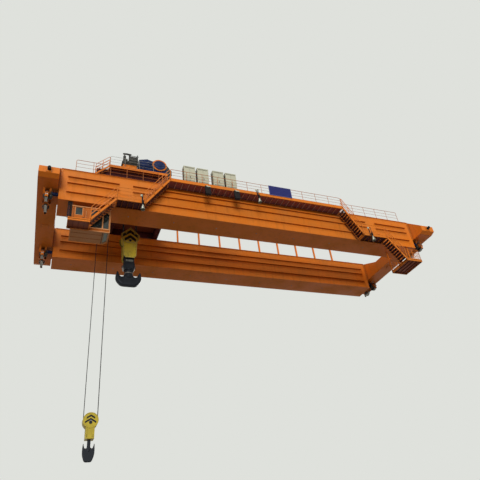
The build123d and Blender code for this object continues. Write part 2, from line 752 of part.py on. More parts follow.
def trolley_deck():
    """Deck plate over the frame, open where the drums, sheaves and ropes pass."""
    x0 = trolley_left
    x1 = x0 + trolley_length
    inner = girder_centre - side_beam_width / 2
    plan = Polygon((x0, -inner), (x1, -inner), (x1, inner), (x0, inner), align=None)
    wide = main_drum_length / 2 + 60
    reach = main_drum_flange + 60
    holes = [
        Pos(hook_x, 0) * Rectangle(2 * main_sheave_radius + 200, 2 * inner_beam_place),
        Pos(main_drum_x, 0) * Rectangle(2 * reach, 2 * wide),
        Pos(aux_hook_x, 0) * Rectangle(2 * aux_sheave_radius + 160, 2 * aux_beam_place),
    ]
    middle = level_plate(plan - holes, frame_high, deck_top)
    edge = girder_centre + side_deck_overhang
    sides, rails = [], []
    deck_x0 = x0 + side_deck_left
    deck_x1 = deck_x0 + side_deck_length
    for side in (-1, 1):
        plate = block(deck_x0, deck_x1, side * edge, side * inner, frame_high, deck_top)
        board = block(deck_x0, deck_x1, side * edge, side * (edge - 12),
                      deck_top - 60, deck_top + deck_edge_depth)
        under = [
            block(x, x + 12, side * (edge - 12), side * (girder_centre + side_beam_width / 2),
                  frame_high - 140, frame_high)
            for x in (deck_x0 + (deck_x1 - deck_x0 - 12) * n / 4 for n in range(5))
        ]
        sides += [plate, board, *under]
        lines = railing_lines(deck_x0 + 20, deck_x1 - 20, deck_top + deck_edge_depth,
                              round(side_deck_length / post_pitch), rail_height - deck_edge_depth)
        rails.append(side_plate(bars(lines, rail_bar), side * edge, side * (edge - rail_bar)))
    joined("trolley_deck", [middle, *sides])
    separate("trolley_railings", rails)
    foot = deck_x0 - trolley_ladder_run
    foot_z = girder_top + 130
    string = bars([((deck_x0, deck_top), (foot, foot_z))], 150)
    limit = Pos((deck_x0 + foot) / 2 - 100, deck_top - 500) * Rectangle(trolley_ladder_run + 200, 1200)
    string = string & limit
    width = trolley_ladder_width
    ladder = [side_plate(string, -edge, 12 - edge), side_plate(string, width - 12 - edge, width - edge)]
    for n in range(1, 6):
        x = deck_x0 - trolley_ladder_run * n / 6
        z = deck_top - (deck_top - foot_z) * n / 6
        ladder.append(block(x - 90, x + 90, -edge, width - edge, z - 25, z))
    joined("trolley_ladder", ladder)


def wheel_across(x, y, z):
    """A trolley wheel, turning about Y."""
    r = trolley_wheel_diameter / 2
    outline = Polygon((0, -90), (r * 0.35, -90), (r * 0.35, -45), (r * 0.8, -45), (r * 0.8, -75),
                      (r + 20, -75), (r + 20, -58), (r, -58), (r, 58), (r + 20, 58), (r + 20, 75),
                      (r * 0.8, 75), (r * 0.8, 45), (r * 0.35, 45), (r * 0.35, 90), (0, 90), align=None)
    plane = Plane(origin=(x, y, z), x_dir=(1, 0, 0), z_dir=(0, 0, 1))
    return revolve(plane * outline, Axis((x, y, z), (0, 1, 0)))


def sheave(x, y, z, radius, rope):
    """A grooved rope sheave, turning about Y."""
    half = rope * 1.3
    lip = radius + rope * 0.7
    groove = radius - rope / 2 - running_gap
    outline = Polygon((sheave_axle, -half - 10), (lip, -half), (lip, -half + 8), (groove, -rope / 2),
                      (groove, rope / 2), (lip, half - 8), (lip, half), (sheave_axle, half + 10), align=None)
    plane = Plane(origin=(x, y, z), x_dir=(1, 0, 0), z_dir=(0, 0, 1))
    return revolve(plane * outline, Axis((x, y, z), (0, 1, 0)))


def sheave_rows(count, pitch):
    """Places across the bridge of a row of sheaves about the centre."""
    return [(n - (count - 1) / 2) * pitch for n in range(count)]


def drum(x, z, radius, flange, length, rope):
    """A hollow rope drum with its two flanges."""
    half = length / 2
    shell = across(x, -half, half, z, radius - rope / 2) - across(x, 60 - half, half - 60, z, radius - 120)
    flanges = [across(x, sign * half, sign * (half - 60), z, flange) for sign in (-1, 1)]
    return shell.fuse(*flanges)


def main_hoist():
    """Drum with its brake disc, reducer, motor and bearings of the main hoist."""
    z = main_drum_z
    half = main_drum_length / 2
    barrel = drum(main_drum_x, z, main_drum_radius, main_drum_flange, main_drum_length, main_rope)
    back = reducer_near + reducer_width
    shaft = across(main_drum_x, back, -half, z, 160)
    disc = across(main_drum_x, back + 90, back + 150, z, brake_disc_radius)
    stub = across(main_drum_x, half, half + 500, z, 160)
    joined("main_hoist_drum", [barrel, shaft, disc, stub])
    x1 = main_drum_x + reducer_hump
    x0 = x1 - reducer_length
    foot = deck_top + 240
    low = Polygon((x0, foot), (x1, foot), (x1, z), (x0 + 700, z + 520), (x0, z + 300), align=None)
    casing = low + Pos(main_drum_x, z) * Circle(reducer_hump)
    tall = main_drum_axis
    casing = casing & (Pos((x0 + x1) / 2, foot + tall / 2) * Rectangle(reducer_length, tall))
    joined("main_hoist_reducer", [
        side_plate(casing, reducer_near, back),
        across(main_drum_x, reducer_near - 90, reducer_near, z, reducer_cover),
    ])
    ring = across(main_drum_x, reducer_near - 70, reducer_near - running_gap, z, reducer_hump)
    ring -= across(main_drum_x, reducer_near - 80, reducer_near, z, reducer_cover + running_gap)
    seats = [
        block(x0 + 60, x1 - 60, reducer_near + 30, back - 30, deck_top, foot),
        block(main_drum_x - 420, main_drum_x + 420, half + 150, half + 420, deck_top, z - 160)
        - across(main_drum_x, half + 100, half + 480, z, 160 + running_gap),
    ]
    motor_x = x0 + motor_radius
    motor_z = deck_top + 80 + motor_radius
    body = across(motor_x, back + 260, back + 260 + motor_length, motor_z, motor_radius)
    feet = block(motor_x - 380, motor_x + 380, back + 420, back + 100 + motor_length,
                 deck_top, motor_z - 200)
    shaft = across(motor_x, back, back + 260, motor_z, 80)
    coupling = across(motor_x, back + 60, back + 200, motor_z, brake_drum_radius)
    joined("main_hoist_motor", [body, feet, shaft, coupling])
    return [ring, *seats]


def aux_hoist():
    """Drum, reducer, brake and seat of the auxiliary hoist."""
    z = aux_drum_z
    half = aux_drum_length / 2
    barrel = drum(aux_drum_x, z, aux_sheave_radius, aux_sheave_radius + 110, aux_drum_length, aux_rope)
    back = reducer_near + reducer_width
    near_shaft = across(aux_drum_x, back, -half, z, 90)
    stub = across(aux_drum_x, half, half + 300, z, 90)
    joined("aux_hoist_drum", [barrel, near_shaft, stub])
    x0 = aux_drum_x - 160
    x1 = x0 + aux_reducer_length
    foot = deck_top + aux_seat_height
    step = aux_drum_x + 240
    outline = Polygon((x0, foot), (x1, foot), (x1, foot + 420), (step, foot + 420), (step, z + 380),
                      (x0 + 90, z + 380), (x0, z + 200), align=None)
    joined("aux_hoist_reducer", [side_plate(outline, reducer_near, back)])
    seats = [
        block(x0 + 40, x1 - 40, reducer_near + 40, back - 40, deck_top, foot),
        block(aux_drum_x - 250, aux_drum_x + 250, half + 60, half + 260, deck_top, z - 90)
        - across(aux_drum_x, half, half + 300, z, 90 + running_gap),
    ]
    brake_x = x1 - 310
    top = foot + 420
    wheel_z = top + brake_drum_radius + 40
    near = reducer_near + 60
    drum_part = across(brake_x, near, near + 220, wheel_z, brake_drum_radius)
    foot_part = block(brake_x - 300, brake_x + 300, near - 20, near + 240, top, top + 60)
    shoe = brake_drum_radius - 10
    arms = [
        block(brake_x + sign * shoe, brake_x + sign * (shoe + 90), near + 60, near + 160,
              top, wheel_z + brake_drum_radius + 120)
        for sign in (-1, 1)
    ]
    tie = block(brake_x - brake_drum_radius, brake_x + brake_drum_radius, near + 80, near + 140,
                wheel_z + brake_drum_radius + 60, wheel_z + brake_drum_radius + 120)
    joined("aux_hoist_brake", [drum_part, foot_part, *arms, tie])
    return seats


def hook_outline(half_width, top, bottom, shank, throat):
    """Ramshorn hook seen from the front, as a sketch about its centre line."""
    depth = top - bottom
    outer = mirrored([(u * half_width, top - v * depth) for u, v in horn_profile])
    place = shank + throat
    for sign in (-1, 1):
        outer -= Pos(sign * place, top - 0.17 * depth) * Circle(throat)
        outer -= Pos(sign * place, top) * Rectangle(2 * throat, 0.34 * depth)
    return outer + Pos(0, top - 0.2 * depth) * Rectangle(2 * shank, 0.4 * depth)


def main_block():
    """Sheave housing with its two cheek plates, crosshead and ramshorn hook of the main hoist."""
    z = main_axle_z
    outline = mirrored([(0, block_crown), *shell_profile])
    room = offset(outline, -shell_plate, kind=Kind.INTERSECTION)
    half = shell_width / 2
    place = Pos(hook_x, z)
    shell = side_plate(place * outline, -half, half)
    shell -= side_plate(place * room, shell_plate - half, half - shell_plate)
    for sign in (-1, 1):
        x = hook_x + sign * main_sheave_radius
        shell -= block(x - 70, x + 70, shell_plate - half, half - shell_plate, z + 100, z + 1200)
    shell -= across(hook_x, -half - 10, half + 10, z, sheave_axle)
    cheek = place * mirrored(cheek_profile)
    cheeks = [side_plate(cheek, sign * half, sign * (half - cheek_plate)) for sign in (-1, 1)]
    joined("hook_block_housing", [shell, *cheeks])
    rows = sheave_rows(main_sheave_count, main_sheave_pitch)
    wheels = [sheave(hook_x, y, z, main_sheave_radius, main_rope) for y in rows]
    joined("hook_block_sheaves", [across(hook_x, -half, half, z, sheave_axle), *wheels])
    low = z - yoke_drop
    reach = half - cheek_plate
    high_pin, low_pin = trunnion_levels
    joined("hook_crosshead", [
        side_plate(place * mirrored(yoke_profile), -yoke_depth / 2, yoke_depth / 2),
        block(hook_x - trunnion_half_width, hook_x + trunnion_half_width, -reach, reach,
              z - low_pin, z - high_pin),
    ])
    tip = z - yoke_drop - 190
    horns = hook_outline(hook_half_width, tip, z - hook_drop, hook_shank, 205)
    half = hook_thickness / 2
    shaft = upright(hook_x, 0, low - running_gap, tip - 100, hook_shank)
    joined("main_hook", [side_plate(Pos(hook_x, 0) * horns, -half, half), shaft])


def aux_block():
    """Sheave housing and single ramshorn hook of the auxiliary hoist."""
    z = aux_axle_z
    half = 330
    front = Circle(aux_shell_radius) + Pos(0, -aux_neck_drop / 2) * Rectangle(560, aux_neck_drop)
    room = Circle(aux_shell_radius - 20)
    place = Pos(aux_hook_x, z)
    shell = side_plate(place * front, -half, half) - side_plate(place * room, 20 - half, half - 20)
    for sign in (-1, 1):
        x = aux_hook_x + sign * aux_sheave_radius
        shell -= block(x - 60, x + 60, 20 - half, half - 20, z + 60, z + 600)
    shell -= across(aux_hook_x, -half - 10, half + 10, z, sheave_axle)
    joined("aux_block_housing", [shell])
    rows = sheave_rows(2, aux_sheave_pitch)
    wheels = [sheave(aux_hook_x, y, z, aux_sheave_radius, aux_rope) for y in rows]
    joined("aux_block_sheaves", [across(aux_hook_x, -half, half, z, sheave_axle), *wheels])
    low = z - aux_neck_drop
    tip = low - 260
    horns = hook_outline(aux_hook_half_width, tip, z - aux_hook_drop, 110, 85)
    shaft = upright(aux_hook_x, 0, low - running_gap, tip - 60, 110)
    joined("aux_hook", [side_plate(Pos(aux_hook_x, 0) * horns, -90, 90), shaft])


def falls(name, x, radius, rows, low, high, rope):
    """The vertical rope falls between a block's sheaves and the trolley."""
    separate(name, [upright(x + sign * radius, y, low, high, rope / 2) for sign in (-1, 1) for y in rows])


def hoists():
    """Both hoists on the trolley with their blocks, hooks and ropes."""
    separate("hoist_seats", main_hoist() + aux_hoist())
    upper = [
        sheave(hook_x, y, upper_sheave_z, main_sheave_radius, main_rope)
        for y in sheave_rows(main_sheave_count, main_sheave_pitch)
    ]
    reach = inner_beam_place
    main_set = welded([across(hook_x, -reach, reach, upper_sheave_z, sheave_axle), *upper])
    upper = [
        sheave(aux_hook_x, y, upper_sheave_z, aux_sheave_radius, aux_rope)
        for y in sheave_rows(2, aux_sheave_pitch)
    ]
    reach = aux_beam_place
    aux_set = welded([across(aux_hook_x, -reach, reach, upper_sheave_z, sheave_axle), *upper])
    separate("upper_sheaves", [main_set, aux_set])
    main_block()
    aux_block()
    falls("main_ropes", hook_x, main_sheave_radius, sheave_rows(main_sheave_count, main_sheave_pitch),
          main_axle_z, upper_sheave_z, main_rope)
    falls("aux_ropes", aux_hook_x, aux_sheave_radius, sheave_rows(2, aux_sheave_pitch),
          aux_axle_z, upper_sheave_z, aux_rope)


if __name__ == "__main__":
    os.makedirs("parts", exist_ok=True)
    girder("front_girder", -1)
    girder("rear_girder", 1)
    end_carriage("left_end_carriage", "left", 0)
    end_carriage("right_end_carriage", "right", span)
    running_gear()
    walkways()
    accesses()
    cab()
    equipment()
    cable_track()
    trolley_rails()
    trolley_frame()
    trolley_deck()
    hoists()
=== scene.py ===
import json
import math
from itertools import product

import bmesh
import bpy
from mathutils import Matrix, Vector

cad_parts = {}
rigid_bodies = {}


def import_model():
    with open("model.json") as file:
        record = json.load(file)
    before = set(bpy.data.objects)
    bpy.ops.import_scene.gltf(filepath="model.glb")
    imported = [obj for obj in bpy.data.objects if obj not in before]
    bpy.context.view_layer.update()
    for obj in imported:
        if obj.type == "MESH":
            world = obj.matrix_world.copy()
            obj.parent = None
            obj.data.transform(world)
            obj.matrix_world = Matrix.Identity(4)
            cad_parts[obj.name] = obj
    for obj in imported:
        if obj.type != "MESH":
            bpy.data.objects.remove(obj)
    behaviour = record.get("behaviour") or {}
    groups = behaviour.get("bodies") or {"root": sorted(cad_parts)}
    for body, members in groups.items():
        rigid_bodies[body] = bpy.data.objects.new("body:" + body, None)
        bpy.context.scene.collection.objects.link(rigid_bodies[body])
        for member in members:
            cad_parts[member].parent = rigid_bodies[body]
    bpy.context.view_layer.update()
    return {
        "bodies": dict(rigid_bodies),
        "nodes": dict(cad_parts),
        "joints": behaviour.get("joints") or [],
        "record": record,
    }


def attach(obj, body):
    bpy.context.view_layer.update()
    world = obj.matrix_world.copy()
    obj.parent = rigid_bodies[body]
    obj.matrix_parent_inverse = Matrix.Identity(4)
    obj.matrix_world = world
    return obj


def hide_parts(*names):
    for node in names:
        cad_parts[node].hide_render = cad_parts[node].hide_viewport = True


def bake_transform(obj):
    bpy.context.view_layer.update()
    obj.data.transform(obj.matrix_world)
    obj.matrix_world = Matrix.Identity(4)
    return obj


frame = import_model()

nodes = frame["nodes"]
print("frame loaded:", len(nodes), "nodes")


# Colour and shader nodes

def hexToLinear(text):
    channels = []
    for start in (1, 3, 5):
        value = int(text[start:start + 2], 16) / 255
        channels.append(value / 12.92 if value <= 0.04045 else ((value + 0.055) / 1.055) ** 2.4)
    return (*channels, 1.0)


def addNode(tree, kind, settings=None, links=None):
    # plain settings are properties, quoted socket names and numbers are inputs
    node = tree.nodes.new(kind)
    for key, value in (settings or {}).items():
        if isinstance(key, int) or key in node.inputs:
            node.inputs[key].default_value = value
        else:
            setattr(node, key, value)
    for key, source in (links or {}).items():
        tree.links.new(source, node.inputs[key])
    return node


def blankMaterial(name):
    material = bpy.data.materials.new(name)
    material.use_nodes = True
    tree = material.node_tree
    tree.nodes.clear()
    return material, tree, addNode(tree, "ShaderNodeOutputMaterial")


def ramp(tree, value, low, high):
    # rises from 0 where the value is low to 1 where it is high
    return addNode(tree, "ShaderNodeMapRange", {"From Min": low, "From Max": high}, {"Value": value}).outputs[0]


def noiseMask(tree, coords, size, low, high, detail=3.0, roughness=0.55, tall=1):
    # 0 to 1 mask of patches about size metres wide and tall times as high
    mapping = addNode(tree, "ShaderNodeMapping", {"Scale": (1 / size, 1 / size, 1 / (size * tall))},
                      {"Vector": coords})
    noise = addNode(tree, "ShaderNodeTexNoise", {"Scale": 1.0, "Detail": detail, "Roughness": roughness},
                    {"Vector": mapping.outputs["Vector"]})
    return ramp(tree, noise.outputs["Fac"], low, high)


def times(tree, first, second):
    # product of a socket with a socket or a number
    node = addNode(tree, "ShaderNodeMath", {"operation": "MULTIPLY", "use_clamp": True}, {0: first})
    if isinstance(second, (int, float)):
        node.inputs[1].default_value = second
    else:
        tree.links.new(second, node.inputs[1])
    return node.outputs[0]


def layer(tree, mask, under, over):
    # over shows through where the mask is 1; both are sockets or hex colours
    mix = addNode(tree, "ShaderNodeMix", {"data_type": "RGBA"}, {0: mask})
    for index, value in ((6, under), (7, over)):
        if isinstance(value, str):
            mix.inputs[index].default_value = hexToLinear(value)
        else:
            tree.links.new(value, mix.inputs[index])
    return mix.outputs[2]


# The common case, alkyd paint over plate; sizes in metres
plainLook = {
    "patchSize": 2.4, "patchShare": 0.55, "streakWidth": 0.28, "streakStretch": 9, "streakShare": 0.16,
    "cornerReach": 0.35, "cornerShare": 0.75, "dustShare": 0.55, "soffit": None,
    "roughness": (0.38, 0.62), "metallic": 0.0, "specular": 0.16, "grain": 0.03, "bump": 0.12,
}
plainColours = ("#e37c22", "#cd7d36", "#4a2416", "#8a7361")


def metalSkin(name, colours="", **changes):
    # painted or bare metal: patches, run-down streaks, painted shade in corners and dust on top;
    # colours are base, faded, dirt (also the colour of the painted shade in corners) and dust, as many as differ
    # from the plain ones
    look = {**plainLook, **changes}
    given = colours.split()
    base, faded, dirtAndShade, dust = (*given, *plainColours[len(given):])
    material, tree, output = blankMaterial(name)
    coords = addNode(tree, "ShaderNodeTexCoord").outputs["Object"]
    patches = noiseMask(tree, coords, look["patchSize"], 0.42, 0.68)
    colour = layer(tree, times(tree, patches, look["patchShare"]), base, faded)
    streaks = noiseMask(tree, coords, look["streakWidth"], 0.54, 0.74, 2.0, 0.5, look["streakStretch"])
    colour = layer(tree, times(tree, streaks, look["streakShare"]), colour, dirtAndShade)
    # darker where ambient occlusion finds corners and recesses: painted shade, in the dirt colour
    if look["cornerReach"]:
        shade = addNode(tree, "ShaderNodeAmbientOcclusion", {"samples": 4, "Distance": look["cornerReach"]})
        corner = ramp(tree, shade.outputs["AO"], 0.85, 0.25)
        colour = layer(tree, times(tree, corner, look["cornerShare"]), colour, dirtAndShade)
    normal = addNode(tree, "ShaderNodeNewGeometry").outputs["Normal"]
    upward = addNode(tree, "ShaderNodeSeparateXYZ", None, {"Vector": normal}).outputs["Z"]
    settled = times(tree, ramp(tree, upward, 0.55, 0.95), noiseMask(tree, coords, 0.6, 0.3, 0.65))
    colour = layer(tree, times(tree, settled, look["dustShare"]), colour, dust)
    # down-facing faces take the soffit colour: painted light and shade for how much light reaches the undersides
    if look["soffit"]:
        colour = layer(tree, ramp(tree, upward, -0.3, -0.7), colour, look["soffit"])
    gloss = addNode(tree, "ShaderNodeMapRange",
                    {"To Min": look["roughness"][0], "To Max": look["roughness"][1]}, {"Value": patches})
    grain = addNode(tree, "ShaderNodeTexNoise", {"Scale": 1 / look["grain"], "Detail": 2.0}, {"Vector": coords})
    bump = addNode(tree, "ShaderNodeBump", {"Strength": look["bump"], "Distance": look["grain"] * 0.25},
                   {"Height": grain.outputs["Fac"]})
    shader = addNode(tree, "ShaderNodeBsdfPrincipled",
                     {"Metallic": look["metallic"], "Specular IOR Level": look["specular"]},
                     {"Base Color": colour, "Roughness": gloss.outputs["Result"],
                      "Normal": bump.outputs["Normal"]})
    tree.links.new(shader.outputs["BSDF"], output.inputs["Surface"])
    return material


# Alkyd enamel sprayed over rolled plate: even orange with a soft sheen, dulled in patches by mill dust
orangeEnamel = metalSkin("orangeAlkydOnRolledPlate")
# The same paint on decks and landings; their down-facing faces take a darker brown, painted shade for the
# undersides
deckEnamel = metalSkin("orangeAlkydWithShadedUnderside", soffit="#9a5842", cornerShare=0.35)
# On the long walkways the down-facing faces take a paler, pinker brown: painted light for what comes up from the
# hall into their shade
walkwayEnamel = metalSkin("orangeAlkydWithLitUnderside", soffit="#a06468", cornerShare=0.3)
# Pinkish-grey on the rib edges under the walkways: a painted highlight for the light they catch in the shade there
paleRibHighlight = metalSkin("paintedHighlightOnRibEdges", "#e0c2b4 #cbb0a2 #6d4c44", patchSize=0.4,
                       roughness=(0.6, 0.75), cornerReach=0, dustShare=0.2)
# The same paint on thin bars and tubes, handled and scuffed, so duller and browner
railEnamel = metalSkin("orangeAlkydOnRoundTube", "#b8682c #a8683c", cornerShare=0.25)
# The cab's sheet walls carry an older coat, browner, and its down-facing faces a light tan as painted light from
# below
cabEnamel = metalSkin("agedOrangeOnSheetWalls", "#bd6216 #a8632c", soffit="#cd9365", patchSize=0.7,
                      streakWidth=0.1, cornerReach=0.12, grain=0.015)
# Orange rubbed thin over bright primer on proud edges and window frames, so paler
rubbedOrange = metalSkin("orangeAlkydRubbedThin", "#dd9a62 #cf8f5c", patchSize=0.5, streakWidth=0.08,
                         cornerReach=0.1, cornerShare=0.3, grain=0.015)
# Red-oxide primer colour on plate, dry and brown-red, kept dark as painted shade on the trolley frame, treads and
# under-deck parts it covers
shadedRedOxide = metalSkin("redOxideDarkAsPaintedShade", "#54282a #5e302c #2a1618 #6a5348", patchShare=0.4,
                     roughness=(0.6, 0.8), cornerShare=0.5, bump=0.08)
# Black paint of the stripes on the yellow blocks
blackStripe = metalSkin("blackEnamelStripe", "#1b1c1b #2b2a26 #0d0d0c", patchSize=0.3, roughness=(0.4, 0.6),
                        cornerReach=0, grain=0.02)
# Blue machine enamel on castings: deep and fairly glossy, dusty on top
blueEnamel = metalSkin("blueEnamelOnCastIron", "#12224c #182a54 #0b1024", patchSize=0.7, streakShare=0.08,
                       roughness=(0.3, 0.48), cornerShare=0.5, grain=0.02)
# Yellow block paint, rubbed and greasy, so olive rather than bright
yellowEnamel = metalSkin("yellowEnamelOnWeldedPlate", "#cdb73c #b09e45 #2c2817", patchSize=0.8,
                         streakWidth=0.12, streakShare=0.3, roughness=(0.35, 0.6), cornerShare=0.6, grain=0.02)
# The same paint rubbed down to pale primer on edges and raised rims
rubbedYellow = metalSkin("yellowEnamelRubbedPale", "#b8ad6c #a0955c #3a3522", patchSize=0.3, streakWidth=0.08,
                         streakShare=0.3, roughness=(0.4, 0.6), cornerShare=0.4, grain=0.02)
# A flat steel band, scuffed bright between patches of old black paint
wornBand = metalSkin("scuffedSteelBand", "#6d716b #3b3e3c #1d1e1e", patchSize=0.16, patchShare=0.8,
                     roughness=(0.45, 0.6), metallic=0.3, cornerReach=0, grain=0.015, dustShare=0.2)
# Forged and quenched steel, blackened by scale and grease
blackForging = metalSkin("blackForgedSteel", "#202328 #2c3036 #101114", patchSize=0.5, roughness=(0.42, 0.62),
                         metallic=0.35, cornerShare=0.5, grain=0.018, bump=0.2, dustShare=0.3)
# Dark machinery grey: oily castings and brakes
greyCasting = metalSkin("oiledGreyCastIron", "#33332f #47433c #151412", patchSize=0.35, roughness=(0.4, 0.6),
                        metallic=0.2, cornerShare=0.6, grain=0.015, bump=0.22)
# Turned and ground steel: bright running faces of wheels, shafts and drums
turnedSteel = metalSkin("turnedSteel", "#8b8780 #6f6a62 #2c2824", patchSize=0.4, roughness=(0.28, 0.45),
                        metallic=0.85, cornerShare=0.6, grain=0.01, bump=0.08, dustShare=0.25)
# Wire rope: zinc-grey wires under black grease
ropeSteel = metalSkin("greasedWireRope", "#2d2b29 #3b3732 #161412", patchSize=0.3, cornerReach=0,
                      roughness=(0.4, 0.55), metallic=0.5, grain=0.012, bump=0.5)
# Galvanised tube: spangled grey, neither bright nor dark
galvanisedTube = metalSkin("galvanisedSteelTube", "#8c8a7e #75736a #4c483e", patchSize=0.2,
                           roughness=(0.5, 0.65), metallic=0.3, cornerReach=0, grain=0.01)
# Powder-coated sheet of the switch cabinets: pale and matt
cabinetCoat = metalSkin("powderCoatedSheet", "#c6c5ad #bdbba2 #77725f #a09a8a", patchSize=0.8,
                        streakShare=0.12, roughness=(0.5, 0.65), grain=0.012, bump=0.06, cornerShare=0.5)
# The same sheet on the cabinets' sides, dark grey as painted shade
cabinetSideShade = metalSkin("powderCoatedSheetInPaintedShade", "#6d6a5a #5f5b4c #38342a #8a8474", patchSize=0.5,
                        roughness=(0.6, 0.75), grain=0.012, bump=0.06)
# Black stoved lamp housings; the same black also serves as painted shade in the cabinets' vent slots and on the
# cable ladder behind the cab
blackCoatAndShade = metalSkin("blackStovedAluminiumAndShade", "#17181a #222427 #0c0c0d", patchSize=0.3, roughness=(0.4, 0.55),
                     metallic=0.1, cornerShare=0.3, grain=0.01)
# Vitreous enamelled plate, deep blue and smooth
blueVitreous = metalSkin("blueVitreousEnamel", "#272b68 #2c306c #171b3c", patchSize=0.5, streakShare=0.05,
                         roughness=(0.18, 0.3), cornerReach=0, grain=0.05, bump=0.03, dustShare=0.2)
# The same enamel fired thinner on the plate's rim, so lighter
paleBlueEnamel = metalSkin("paleBlueVitreousRim", "#5d6093 #565a8a #2a2c50", patchSize=0.5,
                           roughness=(0.25, 0.4), cornerReach=0, grain=0.05, bump=0.03, dustShare=0.2)
# Spun aluminium of the bell reflectors, anodised and dulled to a warm pale grey
spunAluminium = metalSkin("spunAnodisedAluminium", "#98998a #8b8b7c #4c483d", patchSize=0.2,
                          roughness=(0.35, 0.5), metallic=0.4, cornerReach=0.1, cornerShare=0.5, grain=0.01,
                          bump=0.05, dustShare=0.3)
# Toughened glass over an unlit floodlight, which shows the dark reflector behind it
darkLens = metalSkin("toughenedGlassOverDarkLamp", "#1e1817 #262020 #100e0d", patchSize=0.15,
                     roughness=(0.45, 0.55), cornerReach=0, specular=0.12, grain=0.02, bump=0.1, dustShare=0.1)
# Prismatic lamp glass, unlit and milky
lampLens = metalSkin("frostedLampGlass", "#9a9d96 #85887f #44453f", patchSize=0.15, roughness=(0.2, 0.3),
                     cornerReach=0, specular=0.5, grain=0.02, bump=0.3, dustShare=0.1)
# Moulded buffer rubber, dull and nearly black
bufferRubber = metalSkin("mouldedRubber", "#1b1a19 #262422 #0c0b0b", patchSize=0.2, roughness=(0.7, 0.85),
                         grain=0.008, cornerShare=0.3)


def glassMaterial(name, glass, film):
    # float glass: clear, green at the edge, with the thin film of dust that hall windows carry
    material, tree, output = blankMaterial(name)
    coords = addNode(tree, "ShaderNodeTexCoord").outputs["Object"]
    dusty = noiseMask(tree, coords, 0.5, 0.35, 0.75)
    shader = addNode(tree, "ShaderNodeBsdfPrincipled",
                     {"Roughness": 0.08, "IOR": 1.52, "Transmission Weight": 0.35},
                     {"Base Color": layer(tree, times(tree, dusty, 0.5), glass, film)})
    tree.links.new(shader.outputs["BSDF"], output.inputs["Surface"])
    return material


# Window panes, tinted dark as painted shade of the cab behind them
windowGlass = glassMaterial("dustyFloatGlass", "#2b3330", "#59625b")
# The floor pane, tinted paler as painted light from the lit inside of the cab's roof
floorGlass = glassMaterial("laminatedFloorGlass", "#818c7b", "#a6ad99")
print("materials made:", len(bpy.data.materials))


# Materials of the construction's own pieces

finishes = {
    orangeEnamel: "front_girder rear_girder left_end_carriage right_end_carriage bogie_frames side_stairs "
                  "cable_track_posts trolley_ladder hoist_seats",
    cabEnamel: "cab_floor cab_roof cab_walls",
    walkwayEnamel: "walkway_decks",
    deckEnamel: "side_landings cab_access_platform maintenance_cage trolley_deck",
    # the trolley's frame takes the dark red-brown as painted shade
    shadedRedOxide: "trolley_frame",
    railEnamel: "stair_handrails girder_railings trolley_railings",
    blueEnamel: "main_hoist_reducer main_hoist_motor",
    yellowEnamel: "hook_block_housing aux_block_housing",
    blackForging: "main_hook aux_hook hook_crosshead",
    greyCasting: "aux_hoist_reducer aux_hoist_brake main_hoist_drum aux_hoist_drum",
    turnedSteel: "travel_wheels trolley_wheels trolley_rails upper_sheaves hook_block_sheaves "
                 "aux_block_sheaves",
    ropeSteel: "main_ropes aux_ropes",
    cabinetCoat: "electrical_cabinets",
    blackCoatAndShade: "work_lamps",
    blueVitreous: "name_plate_blank",
    bufferRubber: "end_buffers",
    windowGlass: "cab_glass",
}
for material, names in finishes.items():
    for name in names.split():
        nodes[name].data.materials.clear()
        nodes[name].data.materials.append(material)
print("construction finished in", len(finishes), "materials")


# Entries of a dictionary, places in a row and points on a circle

def pick(look, names):
    return [look[name] for name in names.split()]


def spread(start, end, count):
    # places from start to end, both included
    return [start + (end - start) * n / (count - 1) for n in range(count)]


def middles(start, end, count):
    # the middles of equal bays from start to end
    return [start + (end - start) * (n + 0.5) / count for n in range(count)]


def arc(x, z, radius, start, end, steps):
    # points on a circle, from start to end in degrees
    return [(x + radius * math.cos(t), z + radius * math.sin(t))
            for t in spread(math.radians(start), math.radians(end), steps + 1)]


# Mesh building, in metres and in the construction's frame

toTop, toGround, toFront, toBack = (0, 0, 1), (0, 0, -1), (0, -1, 0), (0, 1, 0)     # axes


def addPrism(shape, outline, plane, start, end, material=0):
    # an outline in the plane "xz", "yz" or "xy", made solid along the third axis
    place = {"xz": lambda u, v, w: (u, w, v), "yz": lambda u, v, w: (w, u, v),
             "xy": lambda u, v, w: (u, v, w)}[plane]
    near, far = ([shape.verts.new(place(u, v, w)) for u, v in outline] for w in (start, end))
    onward = [*range(1, len(outline)), 0]
    walls = [(near[n], near[m], far[m], far[n]) for n, m in enumerate(onward)]
    for corners in (near, far[::-1], *walls):
        shape.faces.new(corners).material_index = material


def addPanel(shape, plane, u0, u1, v0, v1, w0, w1, material=0):
    addPrism(shape, [(u0, v0), (u1, v0), (u1, v1), (u0, v1)], plane, w0, w1, material)


def addBox(shape, x0, x1, y0, y1, z0, z1, material=0):
    addPanel(shape, "xy", x0, x1, y0, y1, z0, z1, material)


def addBars(shape, xs, ys, zs, half, material=0):
    # boxes in rows: a number is the middle of a box that reaches half to both sides, a pair is its two faces
    # and a list of numbers is a row of middles
    ranges = []
    for places, reach in zip((xs, ys, zs), half):
        if isinstance(places, tuple):
            ranges.append([places])
        else:
            row = places if isinstance(places, list) else [places]
            ranges.append([(place - reach, place + reach) for place in row])
    for x, y, z in product(*ranges):
        addBox(shape, *x, *y, *z, material)


def addFrame(shape, plane, u0, u1, v0, v1, w0, w1, width, material=0):
    # four bars round an opening that is u0 to u1 by v0 to v1
    for bar in ((u0 - width, u1 + width, v0 - width, v0), (u0 - width, u1 + width, v1, v1 + width),
                (u0 - width, u0, v0, v1), (u1, u1 + width, v0, v1)):
        addPanel(shape, plane, *bar, w0, w1, material)


